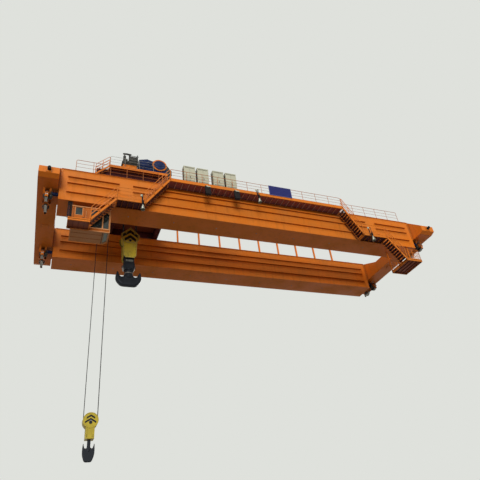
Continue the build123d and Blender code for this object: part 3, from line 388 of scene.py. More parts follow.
def drawnIn(outline, width):
    # the closed outline drawn in by width on all sides; it runs anticlockwise
    inner = []
    for n, (u, v) in enumerate(outline):
        normals = []
        for a, b in ((outline[n - 1], (u, v)), ((u, v), outline[(n + 1) % len(outline)])):
            length = math.dist(a, b)
            normals.append(((a[1] - b[1]) / length, (b[0] - a[0]) / length))
        (p, q), (r, s) = normals
        share = width / (1 + p * r + q * s)
        inner.append((u + (p + r) * share, v + (q + s) * share))
    return inner


def addBand(shape, outer, inner, plane, start, end, material=0, closed=True):
    # a band between two outlines with as many points
    for n in range(len(outer) if closed else len(outer) - 1):
        m = (n + 1) % len(outer)
        addPrism(shape, [outer[n], outer[m], inner[m], inner[n]], plane, start, end, material)


def addRim(shape, outline, width, plane, start, end, material=0):
    # a band along the inside of a closed outline
    addBand(shape, outline, drawnIn(outline, width), plane, start, end, material)


def mirrored(half):
    # a closed outline from its right half, listed downward
    return [(-u, v) for u, v in half if u] + list(half)[::-1]


def moved(outline, x, z, side=1):
    return [(x + side * u, z + v) for u, v in outline]


def addLathe(shape, centre, axis, profile, sides=32, material=0, closed=False):
    # a turned form: the profile is (radius, distance along the axis) from end to end
    axis = Vector(axis).normalized()
    side = axis.orthogonal().normalized()
    other = axis.cross(side)
    turns = [math.tau * n / sides for n in range(sides)]
    rings = []
    for radius, along in profile:
        middle = Vector(centre) + axis * along
        if radius == 0:
            rings.append([shape.verts.new(middle)])
        else:
            rings.append([shape.verts.new(middle + (side * math.cos(t) + other * math.sin(t)) * radius)
                          for t in turns])
    for first, second in zip(rings, rings[1:] + rings[:closed]):
        for n in range(sides):
            near = (first[n % len(first)], first[(n + 1) % len(first)])
            far = (second[(n + 1) % len(second)], second[n % len(second)])
            corners = list(dict.fromkeys(near + far))
            if len(corners) > 2:
                shape.faces.new(corners).material_index = material


def addDisc(shape, centre, axis, radius, thick, sides=24, material=0, bore=0.0):
    # a plain disc, or a ring where it has a bore
    addLathe(shape, centre, axis, [(bore, 0), (radius, 0), (radius, thick), (bore, thick)], sides, material,
             bool(bore))


def addFins(shape, plane, x, z, section, count, start, end, material=0, keep=lambda turn: True):
    # the section, as (radius, distance to the side), set round a centre count times
    for turn in (math.tau * n / count for n in range(count)):
        if keep(turn):
            way = (math.cos(turn), math.sin(turn))
            outline = [(x + way[0] * r - way[1] * s, z + way[1] * r + way[0] * s) for r, s in section]
            addPrism(shape, outline, plane, start, end, material)


def roundedPath(points, radius, steps=4):
    # the points with every corner between them rounded off
    path = [Vector(point) for point in points]
    smooth = [path[0]]
    for before, corner, after in zip(path, path[1:], path[2:]):
        back, onward = before - corner, after - corner
        reach = min(radius, back.length * 0.45, onward.length * 0.45)
        near = corner + back.normalized() * reach
        far = corner + onward.normalized() * reach
        for share in spread(0, 1, steps + 1):
            smooth.append(near.lerp(corner, share).lerp(corner.lerp(far, share), share))
    return [*smooth, path[-1]]


def closeTube(shape, rings, material=0):
    # walls between the rings of points and a cap at both ends
    for first, second in zip(rings, rings[1:]):
        for k in range(len(first)):
            m = (k + 1) % len(first)
            shape.faces.new((first[k], first[m], second[m], second[k])).material_index = material
    for cap in (rings[0][::-1], rings[-1]):
        shape.faces.new(cap).material_index = material


def addTube(shape, points, radius, sides=8, material=0):
    # a round bar along the points, mitred at its corners
    path = [Vector(point) for point in points]
    heading = (path[1] - path[0]).normalized()
    side = heading.orthogonal().normalized()
    rings = []
    for n, place in enumerate(path):
        onward = (path[n + 1] - place).normalized() if n + 1 < len(path) else heading
        mitre = (heading + onward).normalized()
        other = heading.cross(side)
        rings.append([])
        for turn in (math.tau * k / sides for k in range(sides)):
            reach = (side * math.cos(turn) + other * math.sin(turn)) * radius
            lean = heading * (reach.dot(mitre) / heading.dot(mitre))
            rings[-1].append(shape.verts.new(place + reach - lean))
        side = heading.rotation_difference(onward) @ side
        heading = onward
    closeTube(shape, rings, material)


def addBolt(shape, place, axis, size, material=0):
    # a hexagon head on its washer; size is the washer's radius
    place, axis = Vector(place), Vector(axis).normalized()
    addDisc(shape, place, axis, size, size * 0.2, 10, material)
    addDisc(shape, place + axis * size * 0.2, axis, size * 0.8, size * 0.6, 6, material)


def addBolts(shape, xs, ys, zs, axis, size, material=0):
    # bolts at every meeting of the places given as numbers or as rows of them
    for place in product(*(row if isinstance(row, (list, tuple)) else [row] for row in (xs, ys, zs))):
        addBolt(shape, place, axis, size, material)


def addBoltCircle(shape, centre, axis, radius, count, size, material=0):
    axis = Vector(axis).normalized()
    side = axis.orthogonal().normalized()
    for n in range(count):
        turn = Matrix.Rotation(math.tau * (n + 0.5) / count, 3, axis)
        addBolt(shape, Vector(centre) + turn @ side * radius, axis, size, material)


def roundOff(shape, voxel, passes):
    # one continuous skin over all the shape's solids, rounded as a forging or casting is
    bmesh.ops.recalc_face_normals(shape, faces=shape.faces)
    rawMesh = bpy.data.meshes.new("raw")
    shape.to_mesh(rawMesh)
    shape.free()
    raw = bpy.data.objects.new("raw", rawMesh)
    bpy.context.scene.collection.objects.link(raw)
    skin = raw.modifiers.new("skin", "REMESH")
    skin.mode = "VOXEL"
    skin.voxel_size = voxel
    rounding = raw.modifiers.new("rounding", "SMOOTH")
    rounding.factor = 0.5
    rounding.iterations = passes
    made = bpy.data.meshes.new_from_object(raw.evaluated_get(bpy.context.evaluated_depsgraph_get()))
    soft = bmesh.new()
    soft.from_mesh(made)
    bpy.data.objects.remove(raw)
    for mesh in (rawMesh, made):
        bpy.data.meshes.remove(mesh)
    return soft


def makePiece(name, shape, body, materials, replaced=(), sharp=32, edge=0.0):
    # the finished mesh on its body; edge is the width of its small bevels
    bmesh.ops.recalc_face_normals(shape, faces=shape.faces)
    mesh = bpy.data.meshes.new(name)
    shape.to_mesh(mesh)
    shape.free()
    for material in materials:
        mesh.materials.append(material)
    mesh.shade_smooth()
    mesh.set_sharp_from_angle(angle=math.radians(sharp))
    piece = bpy.data.objects.new(name, mesh)
    bpy.context.scene.collection.objects.link(piece)
    if edge:
        bevel = piece.modifiers.new("edges", "BEVEL")
        bevel.width = edge
        bevel.segments = 2
        bevel.limit_method = "ANGLE"
        bevel.angle_limit = math.radians(40)
    if body:
        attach(piece, body)
    if replaced:
        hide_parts(*replaced)
    return piece


# Bridge: levels and places that its pieces share, measured inward from the girders' ends where they have sides

bridge = {
    "left": 0.8, "right": 33.0, "bottom": -0.95, "top": 2.05, "innerWeb": 2.975, "outerWeb": 4.925,
    "flangeEdge": 4.985, "walkwayEdge": 6.005, "deck": 1.75, "walkwayStart": 8.1,
    "landing": {"left": (4.03, 6.15), "right": (4.08, 6.5)},
    "platform": {"left": (0.80, 2.30), "right": (0.95, 2.55)},
    "lowerLevel": {"left": -3.30, "right": -3.11},
    "flightFoot": {"left": -3.15, "right": -3.11},
}
bridgeSides = ("left", "right")
outerEdge = -bridge["walkwayEdge"]      # of the walkway on the cab's side


def fromEnd(side, distance):
    return bridge["left"] + distance if side == "left" else bridge["right"] - distance


def span(side, distances):
    return sorted(fromEnd(side, distance) for distance in distances)


walkwayEnds = [fromEnd(side, bridge["walkwayStart"]) for side in bridgeSides]


# Railings of round tube

railing = {
    "rail": 0.019, "knee": 0.013, "post": 0.018, "bend": 0.13, "height": 1.1, "kneeShares": (0.36, 0.68),
    "postPitch": 1.33, "edgeSpan": (0.95, 7.45), "edgeBays": 5, "toeBoard": 0.15, "inset": 0.032,
    "shoe": (0.05, 0.03, 0.01), "shoeTop": 0.012,
}


def addRailing(shape, start, end, height, posts, thick=0.0, material=0):
    # start and end are the ends of its base line, and the posts stand upright on it
    start, end, rise = Vector(start), Vector(end), Vector((0, 0, height))
    path = roundedPath([start, start + rise, end + rise, end], railing["bend"])
    addTube(shape, path, thick or railing["rail"], 8, material)
    for share in railing["kneeShares"]:
        addTube(shape, [start + rise * share, end + rise * share], thick * 0.8 or railing["knee"], 6, material)
    long, wide, low = railing["shoe"]
    for n in range(posts + 1):
        foot = start.lerp(end, n / posts)
        if 0 < n < posts:
            addTube(shape, [foot, foot + rise], railing["post"], 6, material)
        addBox(shape, foot.x - long, foot.x + long, foot.y - wide, foot.y + wide, foot.z - low,
               foot.z + railing["shoeTop"])


def makeGirderRailings():
    shape = bmesh.new()
    inset, toeBoard = pick(railing, "inset toeBoard")
    x0, x1 = walkwayEnds
    posts = round((x1 - x0) / railing["postPitch"])
    for y in (outerEdge + inset, -outerEdge - inset):
        base = bridge["deck"] + toeBoard
        addRailing(shape, (x0 + 0.03, y, base), (x1 - 0.03, y, base), railing["height"] - toeBoard, posts)
    for side in bridgeSides:
        near, far = span(side, railing["edgeSpan"])
        y, base = 0.03 - bridge["flangeEdge"], bridge["top"]
        addRailing(shape, (near + 0.03, y, base), (far - 0.03, y, base), railing["height"], railing["edgeBays"])
    makePiece("girderRailings", shape, "bridge", [railEnamel], ["girder_railings"])


# Stairs, landings and lower platforms

stair = {
    "width": 0.88, "halfStringer": 0.095, "plate": 0.012, "lip": 0.055, "halfTread": 0.12, "treadBars": 7,
    "crossBars": 9, "barHalf": 0.004, "grating": 0.03, "treads": (11, 9), "handrail": 1.05,
    "handrailRadius": 0.026, "railOut": 0.022, "railIn": 0.016,
}


def addStair(shape, top, foot, treads):
    # two channel stringers with grating treads between them, each with a chequered nosing
    inner = outerEdge + stair["width"]
    (xTop, zTop), (xFoot, zFoot) = top, foot
    slope = math.atan2(zTop - zFoot, abs(xTop - xFoot))
    rise, lip = stair["halfStringer"] / math.cos(slope), stair["plate"] / math.cos(slope)
    for face, inward in ((outerEdge, 1), (inner, -1)):
        for high, low, deep in ((rise, -rise, "plate"), (rise, rise - lip, "lip"), (lip - rise, -rise, "lip")):
            strip = [(xTop, zTop + low), (xTop, zTop + high), (xFoot, zFoot + high), (xFoot, zFoot + low)]
            addPrism(shape, strip, "xz", face, face + inward * stair[deep])
    half, bar = pick(stair, "halfTread barHalf")
    ys = (outerEdge + stair["plate"], inner - stair["plate"])
    for share in spread(0, 1, treads + 2)[1:-1]:
        x, z = xTop + (xFoot - xTop) * share, zTop + (zFoot - zTop) * share
        nose = x + math.copysign(half, xFoot - xTop)
        # the grating bars take the dark red-brown: painted shade
        addBars(shape, spread(x - half, x + half, stair["treadBars"]), ys, (z - stair["grating"], z),
                (bar, 0, 0), 1)
        addBars(shape, x, middles(*ys, stair["crossBars"]), (z - 0.012, z - 0.002), (half, bar, 0), 1)
        addBars(shape, nose, ys, (z - 0.035, z + 0.004), (0.022, 0, 0), 1)
        for y, inward in zip(ys, (0.008, -0.008)):
            addBars(shape, x, (y, y + inward), (z - 0.07, z + 0.01), (half, 0, 0), 1)


def makeStairs():
    shape, rails = bmesh.new(), bmesh.new()
    for side in bridgeSides:
        landing, platformXs = ([fromEnd(side, d) for d in bridge[level][side]] for level in ("landing", "platform"))
        upper = ((fromEnd(side, bridge["walkwayStart"]), bridge["deck"]), (landing[1], bridge["bottom"]))
        lower = ((landing[0], bridge["bottom"]), (platformXs[1], bridge["flightFoot"][side]))
        for ((xTop, zTop), (xFoot, zFoot)), treads in zip((upper, lower), stair["treads"]):
            addStair(shape, (xTop, zTop), (xFoot, zFoot), treads)
            for y in (outerEdge - stair["railOut"], outerEdge + stair["width"] + stair["railIn"]):
                addRailing(rails, (xTop, y, zTop), (xFoot, y, zFoot), stair["handrail"], 3, stair["handrailRadius"])
    makePiece("accessStairs", shape, "bridge", [orangeEnamel, shadedRedOxide], ["side_stairs"])
    makePiece("stairHandrails", rails, "bridge", [orangeEnamel], ["stair_handrails"])


def addChequeredFloor(shape, x0, x1, y0, y1, level, material):
    # plate with raised lozenges; real ones are 30 mm long, and these are drawn three times as coarse
    addBox(shape, x0, x1, y0, y1, level - 0.008, level, material)
    columns, rows = (round(size / 0.12) for size in (x1 - x0, y1 - y0))
    for (n, x), (m, y) in product(enumerate(middles(x0, x1, columns)), enumerate(middles(y0, y1, rows))):
        along, across = (0.045, 0.014) if (n + m) % 2 else (0.014, 0.045)
        addPrism(shape, [(x - along, y), (x, y - across), (x + along, y), (x, y + across)], "xy",
                 level - 0.001, level + 0.004, material)


def addChannelRing(shape, x0, x1, y0, y1, low, high):
    # channels welded round a platform, backs outward
    for width, z0, z1 in ((0.06, low, low + 0.012), (0.06, high - 0.012, high), (0.01, low, high)):
        addFrame(shape, "xy", x0 + width, x1 - width, y0 + width, y1 - width, z0, z1, width)


def makeLandings():
    shape = bmesh.new()
    y0, y1 = outerEdge, -bridge["flangeEdge"]
    level = bridge["bottom"] + 0.008
    under = level - 0.008
    for side in bridgeSides:
        x0, x1 = span(side, bridge["landing"][side])
        addChannelRing(shape, x0, x1, y0, y1, level - 0.14, level + 0.09)
        # the landing's floor plate takes the dark red-brown: painted shade
        addBox(shape, x0, x1, y0, y1, under, level, 1)
        for x in spread(x0, x1, 6)[1:-1]:
            addPrism(shape, [(y1, under), (y0, under), (y0, level - 0.07), (y1, level - 0.13)], "yz",
                     x - 0.005, x + 0.005)
        addRailing(shape, (x0 + 0.05, y0 + 0.032, level + 0.1), (x1 - 0.05, y0 + 0.032, level + 0.1), 1.0, 2)
    makePiece("sideLandings", shape, "bridge", [orangeEnamel, shadedRedOxide], ["side_landings"])


platform = {
    "cageReach": 1.27, "hanger": 0.08, "flange": 0.05, "low": 0.14, "toe": 0.12, "railHeight": 1.1,
    "meshPitch": 0.11, "meshBar": 0.006, "meshTop": 1.08, "inset": 0.03, "skirt": 0.006,
}


def makePlatforms():
    inset, skirt, low = platform["inset"], platform["skirt"], bridge["bottom"]
    for side, name, node in (("left", "cabAccessPlatform", "cab_access_platform"),
                             ("right", "maintenanceCage", "maintenance_cage")):
        shape = bmesh.new()
        cage = side == "right"
        x0, x1 = span(side, bridge["platform"][side])
        y0, y1 = outerEdge, -bridge["outerWeb"] + cage * platform["cageReach"]
        level = bridge["lowerLevel"][side]
        addChannelRing(shape, x0, x1, y0, y1, level - platform["low"], level + 0.04)
        addChequeredFloor(shape, x0 + 0.01, x1 - 0.01, y0 + 0.01, y1 - 0.01, level, 2)
        # bearers under the floor take the dark red-brown: painted shade
        addBars(shape, spread(x0, x1, 5)[1:-1], (y0, y1), (level - 0.07, level - 0.008), (0.006, 0, 0), 1)
        addFrame(shape, "xy", x0 + skirt, x1 - skirt, y0 + skirt, y1 - skirt, level, level + platform["toe"], skirt)
        corners = [[(x, y, level) for x in (x0 + inset, x1 - inset)] for y in (y0 + inset, y1 - inset)]
        # the cab platform's end railing takes the dark red-brown, painted shade for the dark gap behind it
        addRailing(shape, corners[0][cage], corners[1][cage], platform["railHeight"], 1 + cage, 0.0, 1 - cage)
        if cage:
            for start, end in corners:
                addRailing(shape, start, end, platform["railHeight"], 2)
            size, flange = pick(platform, "hanger flange")
            for x, y in product((x0, x1 - size), (-bridge["outerWeb"] + 0.06, y1 - size)):
                addBox(shape, x, x + size, y, y + size, level - platform["low"], low)
                addBox(shape, x - flange, x + size + flange, y - flange, y + size + flange, low - 0.02, low)
            addCageBars(shape, x0, x1, y0, y1, level)
        makePiece(name, shape, "bridge", [orangeEnamel, shadedRedOxide, deckEnamel], [node])


def addCageBars(shape, x0, x1, y0, y1, level):
    # welded bars between the cage's rails, closer than a hand
    inset = platform["inset"]
    across, along = (spread(a, b, round((b - a) / platform["meshPitch"]) + 1)[1:-1]
                     for a, b in ((x0, x1), (y0, y1)))
    feet = [*product(across, (y0 + inset, y1 - inset)), *product((x1 - inset,), along)]
    for x, y in feet:
        addTube(shape, [(x, y, level + platform["toe"]), (x, y, level + platform["meshTop"])],
                platform["meshBar"], 5)


makeGirderRailings()
makeStairs()
makeLandings()
makePlatforms()
print("railings, stairs and platforms made")


# Operator's cab: what stands proud of its sheet walls

cab = {
    "x0": 1.86, "x1": 4.56, "y0": -4.925, "y1": -3.365, "low": -3.38, "high": -1.34, "chamfer": 0.33,
    "sill": -3.08, "head": -1.54, "frame": 0.036, "proud": 0.016, "gasket": 0.014, "ribHalf": (0.012, 0.03),
    "ribProud": 0.009, "door": (1.97, 2.73, -3.29, -1.41), "doorLeaf": 0.014, "hinges": (-3.1, -2.4, -1.6),
    "hangerXs": (1.90, 4.04), "hangerYs": (-4.625, -3.525), "hanger": 0.12, "bearerXs": [2.45, 3.25],
    "bearerYs": [-4.45, -3.88], "bearer": 0.03, "floorFrame": 4.06,
    "floorPane": ((4.17, -4.825), (4.47, -4.825), (4.47, -3.755), (4.25, -3.495), (4.17, -3.495)),
}
sill, head, nearWall = pick(cab, "sill head y0")
cabWindows = [      # plane, two sides, foot and head, the wall's outer face and the way out of it
    ("xz", 2.10, 2.56, -2.11, -1.45, nearWall, -1),
    ("xz", 3.20, 3.99, sill, head, nearWall, -1),
    ("xz", 4.08, 4.47, sill, head, nearWall, -1),
    ("xz", 3.20, 3.99, sill, head, cab["y1"], 1),
    ("yz", -4.835, -3.735, sill, head, cab["x1"], 1),
    ("yz", -4.525, -3.765, -2.11, -1.45, cab["x0"], -1),
]
leafFace = nearWall - cab["doorLeaf"]
doorLeft, doorRight, doorFoot, doorHead = cab["door"]
nearWallPlates = [      # two sides, foot and head, outer and inner face, material
    (3.12, cab["x1"] + 0.01, sill - 0.105, sill - 0.045, nearWall - 0.034, nearWall, 1),            # sill rail
    (4.014, 4.056, sill - 0.045, head + 0.045, nearWall - 0.03, nearWall, 1),                     # window post
    (cab["x1"] - 0.03, cab["x1"] + 0.012, cab["low"], cab["high"], nearWall - 0.014, nearWall + 0.03, 1),   # corner
    (doorLeft, 2.06, doorFoot, doorHead, leafFace, nearWall, 0),                                  # door leaf
    (2.60, doorRight, doorFoot, doorHead, leafFace, nearWall, 0),
    (2.06, 2.60, doorFoot, -2.15, leafFace, nearWall, 0),
    (2.63, 2.69, -2.52, -2.30, leafFace - 0.008, leafFace, 3),                                    # lock plate
]
swages = [          # two ends, lowest and highest edge, how many, face, way out, plane
    (2.78, 3.12, -2.7, -1.5, 6, nearWall, -1, "xz"), (2.08, 2.62, -3.2, -2.3, 4, leafFace, -1, "xz"),
    (2.0, 3.1, -3.2, -1.5, 8, cab["y1"], 1, "xz"), (-4.85, -3.45, -3.2, -2.2, 5, cab["x0"], -1, "yz"),
]


def addSwages(shape, u0, u1, z0, z1, rows, face, out, plane):
    # shallow ribs pressed along a sheet wall
    flat, wide = cab["ribHalf"]
    section = [(-wide, 0), (-flat, cab["ribProud"]), (flat, cab["ribProud"]), (wide, 0)]
    for z in middles(z0, z1, rows):
        for (below, a), (above, b) in zip(section, section[1:]):
            addPanel(shape, plane, u0, u1, z + below, z + above, face - out * 0.002, face + out * max(a, b, 0.004))


def makeCabTrim():
    # 0 wall paint, 1 pale rubbed edges, 2 gasket, 3 steel fittings
    shape = bmesh.new()
    width, gasket = pick(cab, "frame gasket")
    for plane, u0, u1, v0, v1, face, out in cabWindows:
        proud = face + out * cab["proud"]
        addFrame(shape, plane, u0, u1, v0, v1, face - out * 0.004, proud, width, 1)
        addFrame(shape, plane, u0 + gasket, u1 - gasket, v0 + gasket, v1 - gasket, face - out * 0.02,
                 face + out * 0.006, gasket, 2)
        row, heights = [u0 - width / 2, u1 + width / 2], middles(v0, v1, 3)
        if plane == "xz":
            addBolts(shape, row, proud, heights, (0, out, 0), 0.009, 3)
        else:
            addBolts(shape, proud, row, heights, (out, 0, 0), 0.009, 3)
    addPrism(shape, [(4.14, head), (4.47, head), (4.47, -1.75)], "xz", nearWall - 0.006, nearWall + 0.03, 1)
    # roof lip with its gutter, and the floor's edge
    x0, x1, y0, y1, chamfer = pick(cab, "x0 x1 y0 y1 chamfer")
    outline = [(x0, y0), (x1, y0), (x1, y1 - chamfer), (x1 - chamfer, y1), (x0, y1)]
    addRim(shape, drawnIn(outline, -0.035), 0.035, "xy", cab["high"] - 0.05, cab["high"] + 0.012, 1)
    addRim(shape, drawnIn(outline, -0.012), 0.06, "xy", cab["low"] - 0.028, cab["low"] + 0.03, 1)
    for plateRow in nearWallPlates:
        addPanel(shape, "xz", *plateRow)
    # the door's gasket, hinges, lever handle and grab rail
    addFrame(shape, "xz", doorLeft + 0.012, doorRight - 0.012, doorFoot + 0.012, doorHead - 0.012,
             nearWall - 0.022, nearWall, 0.012, 2)
    for z in cab["hinges"]:
        addTube(shape, [(doorLeft - 0.012, nearWall - 0.02, z + half) for half in (-0.07, 0.07)], 0.014, 10, 3)
    addTube(shape, [(2.66, leafFace, -2.40), (2.66, leafFace - 0.05, -2.40), (2.55, leafFace - 0.05, -2.40)],
            0.01, 8, 3)
    grip = [(2.84, nearWall - out, z) for out, z in ((0, -2.85), (0.07, -2.85), (0.07, -1.75), (0, -1.75))]
    addTube(shape, roundedPath(grip, 0.04), 0.014, 8, 1)
    for swage in swages:
        addSwages(shape, *swage)
    makePiece("cabTrim", shape, "bridge", [cabEnamel, rubbedOrange, bufferRubber, greyCasting],
              edge=0.003)


cableLadder = {
    "cables": 7, "pitch": 0.04, "cable": 0.017, "y": -4.86, "x0": 1.53, "x1": 1.83, "foot": -2.42, "turn": -2.35,
    "entry": -2.58, "rungPitch": 0.22,
}


def makeCabUnderside():
    # floor bearers, the light frame of the floor window, hanger feet and the cable ladder on the cab's back
    shape = bmesh.new()
    low, high, girderLow = cab["low"], cab["high"], bridge["bottom"]
    walls, bearer, frame = (cab["y0"] + 0.05, cab["y1"] - 0.05), cab["bearer"], cab["floorFrame"]
    addBars(shape, (cab["x0"] + 0.05, frame), cab["bearerYs"], (low - 0.026, low), (0, bearer, 0))
    addBars(shape, cab["bearerXs"], walls, (low - 0.02, low), (bearer, 0, 0))
    addRim(shape, drawnIn([*cab["floorPane"]], -0.03), 0.035, "xy", low - 0.02, low + 0.004, 1)
    addBox(shape, frame + 0.03, frame + 0.06, *walls, low - 0.03, low, 2)
    for x, y in product(cab["hangerXs"], cab["hangerYs"]):
        x1, y1 = x + cab["hanger"], y + cab["hanger"]
        for z in (high, girderLow - 0.014):
            addFrame(shape, "xy", x, x1, y, y1, z, z + 0.014, 0.05)
        addBolts(shape, (x - 0.03, x1 + 0.03), (y - 0.03, y1 + 0.03), high + 0.014, toTop, 0.016, 2)
        addPrism(shape, [(x1, girderLow), (x1 + 0.16, girderLow), (x1, girderLow - 0.17)], "xz",
                 y + 0.054, y + 0.066)
    # seven black cables strapped to a ladder between the girder and the cab's back; their black also stands in as
    # painted shade for the dark gap there
    y, x0, x1 = pick(cableLadder, "y x0 x1")
    entry, turn = pick(cableLadder, "entry turn")
    for n in range(cableLadder["cables"]):
        x = x0 + 0.03 + n * cableLadder["pitch"]
        path = [(x, y, girderLow), (x, y, turn), (x + 0.14, y, entry), (cab["x0"] + 0.01, y + n * 0.03, entry)]
        addTube(shape, roundedPath(path, 0.12), cableLadder["cable"], 8, 3)
        z = turn + n * cableLadder["rungPitch"]
        addBox(shape, x0, x1, -4.843, -4.82, z - 0.012, z + 0.012, 3)
        addBox(shape, x0 + 0.01, x1 - 0.01, -4.885, -4.879, z - 0.01, z + 0.01, 2)
    addBars(shape, [x0, x1], (-4.84, -4.78), (cableLadder["foot"], girderLow), (0.008, 0, 0), 3)
    for z in (-2.2, -1.5):
        addBox(shape, 1.81, cab["x0"], -4.83, -4.79, z, z + 0.05)
    makePiece("cabUndersideAndCableLadder", shape, "bridge", [cabEnamel, rubbedOrange, greyCasting, blackCoatAndShade])


def paleFloorPane():
    # the pane in the cab's floor gets its own glass
    mesh = nodes["cab_glass"].data
    mesh.materials.append(floorGlass)
    for face in mesh.polygons:
        face.material_index = 1 if face.center.z < cab["low"] + 0.2 else 0


makeCabTrim()
makeCabUnderside()
paleFloorPane()
print("cab trimmed")


# Equipment on the bridge: cabinets, blank plate and lamps

cabinet = {
    "places": (10.206, 11.370, 12.744, 13.890), "width": 0.98, "near": -5.505, "far": -5.005, "foot": 1.75,
    "top": 4.0, "plinth": 0.1, "ventHeights": (2.43, 3.84), "vents": 8, "ventWidth": 0.055, "ventHeight": 0.07,
    "lock": (2.72, 2.92), "handle": (2.88, 2.76), "hinge": 0.009, "hingeHalf": 0.04,
}


def makeCabinets():
    # 0 sheet, 1 vent openings in black as painted shade, 2 plinth and fittings, 3 sides in painted shade
    shape = bmesh.new()
    near, far, foot, top = pick(cabinet, "near far foot top")
    low = foot + cabinet["plinth"]
    half, tall = cabinet["ventWidth"] / 2, cabinet["ventHeight"] / 2
    for x0 in cabinet["places"]:
        x1 = x0 + cabinet["width"]
        middle = (x0 + x1) / 2
        for box in ((x0 + 0.02, x1 - 0.02, near + 0.03, far - 0.02, foot, low, 2),
                    (x0, x1, near + 0.02, far, low, top - 0.06),
                    (x0 - 0.012, x1 + 0.012, near - 0.002, far + 0.012, top - 0.06, top),
                    (middle + 0.03, middle + 0.055, near - 0.02, near + 0.003, *cabinet["lock"], 2)):
            addBox(shape, *box)
        for a, b, hinge in ((x0 + 0.012, middle - 0.006, x0 + 0.004), (middle + 0.006, x1 - 0.012, x1 - 0.004)):
            addBox(shape, a, b, near + 0.002, near + 0.022, low + 0.02, top - 0.075)
            for z in (foot + 0.4, (foot + top) / 2, top - 0.4):
                pin = [(hinge, near + 0.012, z + side * cabinet["hingeHalf"]) for side in (-1, 1)]
                addTube(shape, pin, cabinet["hinge"], 8, 2)
            addFrame(shape, "xz", a + 0.05, b - 0.05, foot + 0.2, top - 0.18, near - 0.003, near + 0.004, 0.012)
        high, grip = cabinet["handle"]
        addTube(shape, [(middle + 0.042, near - out, z) for out, z in ((0.02, high), (0.04, high), (0.04, grip))],
                0.008, 8, 2)
        for z, u in product(cabinet["ventHeights"], middles(x0 + 0.08, x1 - 0.08, cabinet["vents"])):
            # each vent slot is a black panel: painted shade of the opening
            addPanel(shape, "xz", u - half, u + half, z - tall, z + tall, near - 0.003, near + 0.003, 1)
            hood = [(near - 0.016, z + tall), (near + 0.002, z + tall), (near + 0.002, z + tall + 0.02)]
            addPrism(shape, hood, "yz", u - half, u + half)
        # thin dark sheets on both sides: painted shade
        for face, out in ((x0, -0.006), (x1, 0.006)):
            addBox(shape, face, face + out, near + 0.09, far - 0.07, foot + 0.2, top - 0.2, 3)
        for u in (x0 + 0.12, x1 - 0.12):            # lifting eyes
            addDisc(shape, (u, (near + far) / 2, top), toTop, 0.05, 0.02, 16, 2, 0.03)
    addBox(shape, cabinet["places"][0], x1, far - 0.12, far - 0.02, foot, foot + 0.04, 2)
    makePiece("switchCabinets", shape, "bridge", [cabinetCoat, blackCoatAndShade, greyCasting, cabinetSideShade],
              ["electrical_cabinets"], edge=0.004)


plate = {"x0": 17.6, "x1": 19.76, "low": 1.83, "high": 2.875, "face": -6.035, "frame": 0.05, "railing": -5.973}


def makePlateFrame():
    # the enamelled plate's rim, its clamps on the walkway's railing and the bare plate's fixing nuts
    shape = bmesh.new()
    x0, x1, low, high, face, rim, tube = plate.values()
    addFrame(shape, "xz", x0 + rim, x1 - rim, low + rim, high - rim, face - 0.012, face + 0.006, rim)
    xs, zs = spread(x0 + 0.2, x1 - 0.2, 4), [low + 0.16, high - 0.10]
    addBars(shape, xs, (outerEdge, tube + 0.023), zs, (0.03, 0, 0.03), 1)
    for x, z in product(xs, zs):
        addTube(shape, [(x, tube, z - 0.05), (x, tube, z + 0.05)], 0.028, 10, 1)
    addBolts(shape, xs, face - 0.001, zs, toFront, 0.022, 1)
    makePiece("blankPlateFrame", shape, "bridge", [paleBlueEnamel, greyCasting], edge=0.004)


floodlight = {"places": (11.70, 14.22), "width": 0.46, "back": -6.06, "front": -6.265, "low": 0.62, "high": 1.36}
bellLamp = {
    "size": 0.76, "y": -6.24, "stem": 0.33, "length": 1.1, "seatFace": -6.02,
    "places": ((16.43, 2.02, 1.6), (6.69, -0.45, -0.95), (27.11, -0.3, -0.95)),
    "bell": ((0.064, -0.52), (0.075, -0.56), (0.10, -0.66), (0.145, -0.83), (0.19, -0.98), (0.215, -1.07),
             (0.219, -1.10), (0.207, -1.10), (0.18, -0.985), (0.135, -0.83), (0.09, -0.66), (0.064, -0.57)),
    "bulb": ((0, -0.70), (0.05, -0.72), (0.085, -0.80), (0.05, -0.89), (0, -0.91)),
    "driverTop": ((0, 0.02), (0.05, 0.02), (0.09, 0), (0.11, -0.03)),
    "driverFoot": ((0.10, -0.40), (0.06, -0.44), (0.06, -0.53), (0, -0.53)),
    "fins": 8, "finPitch": 0.04,
}


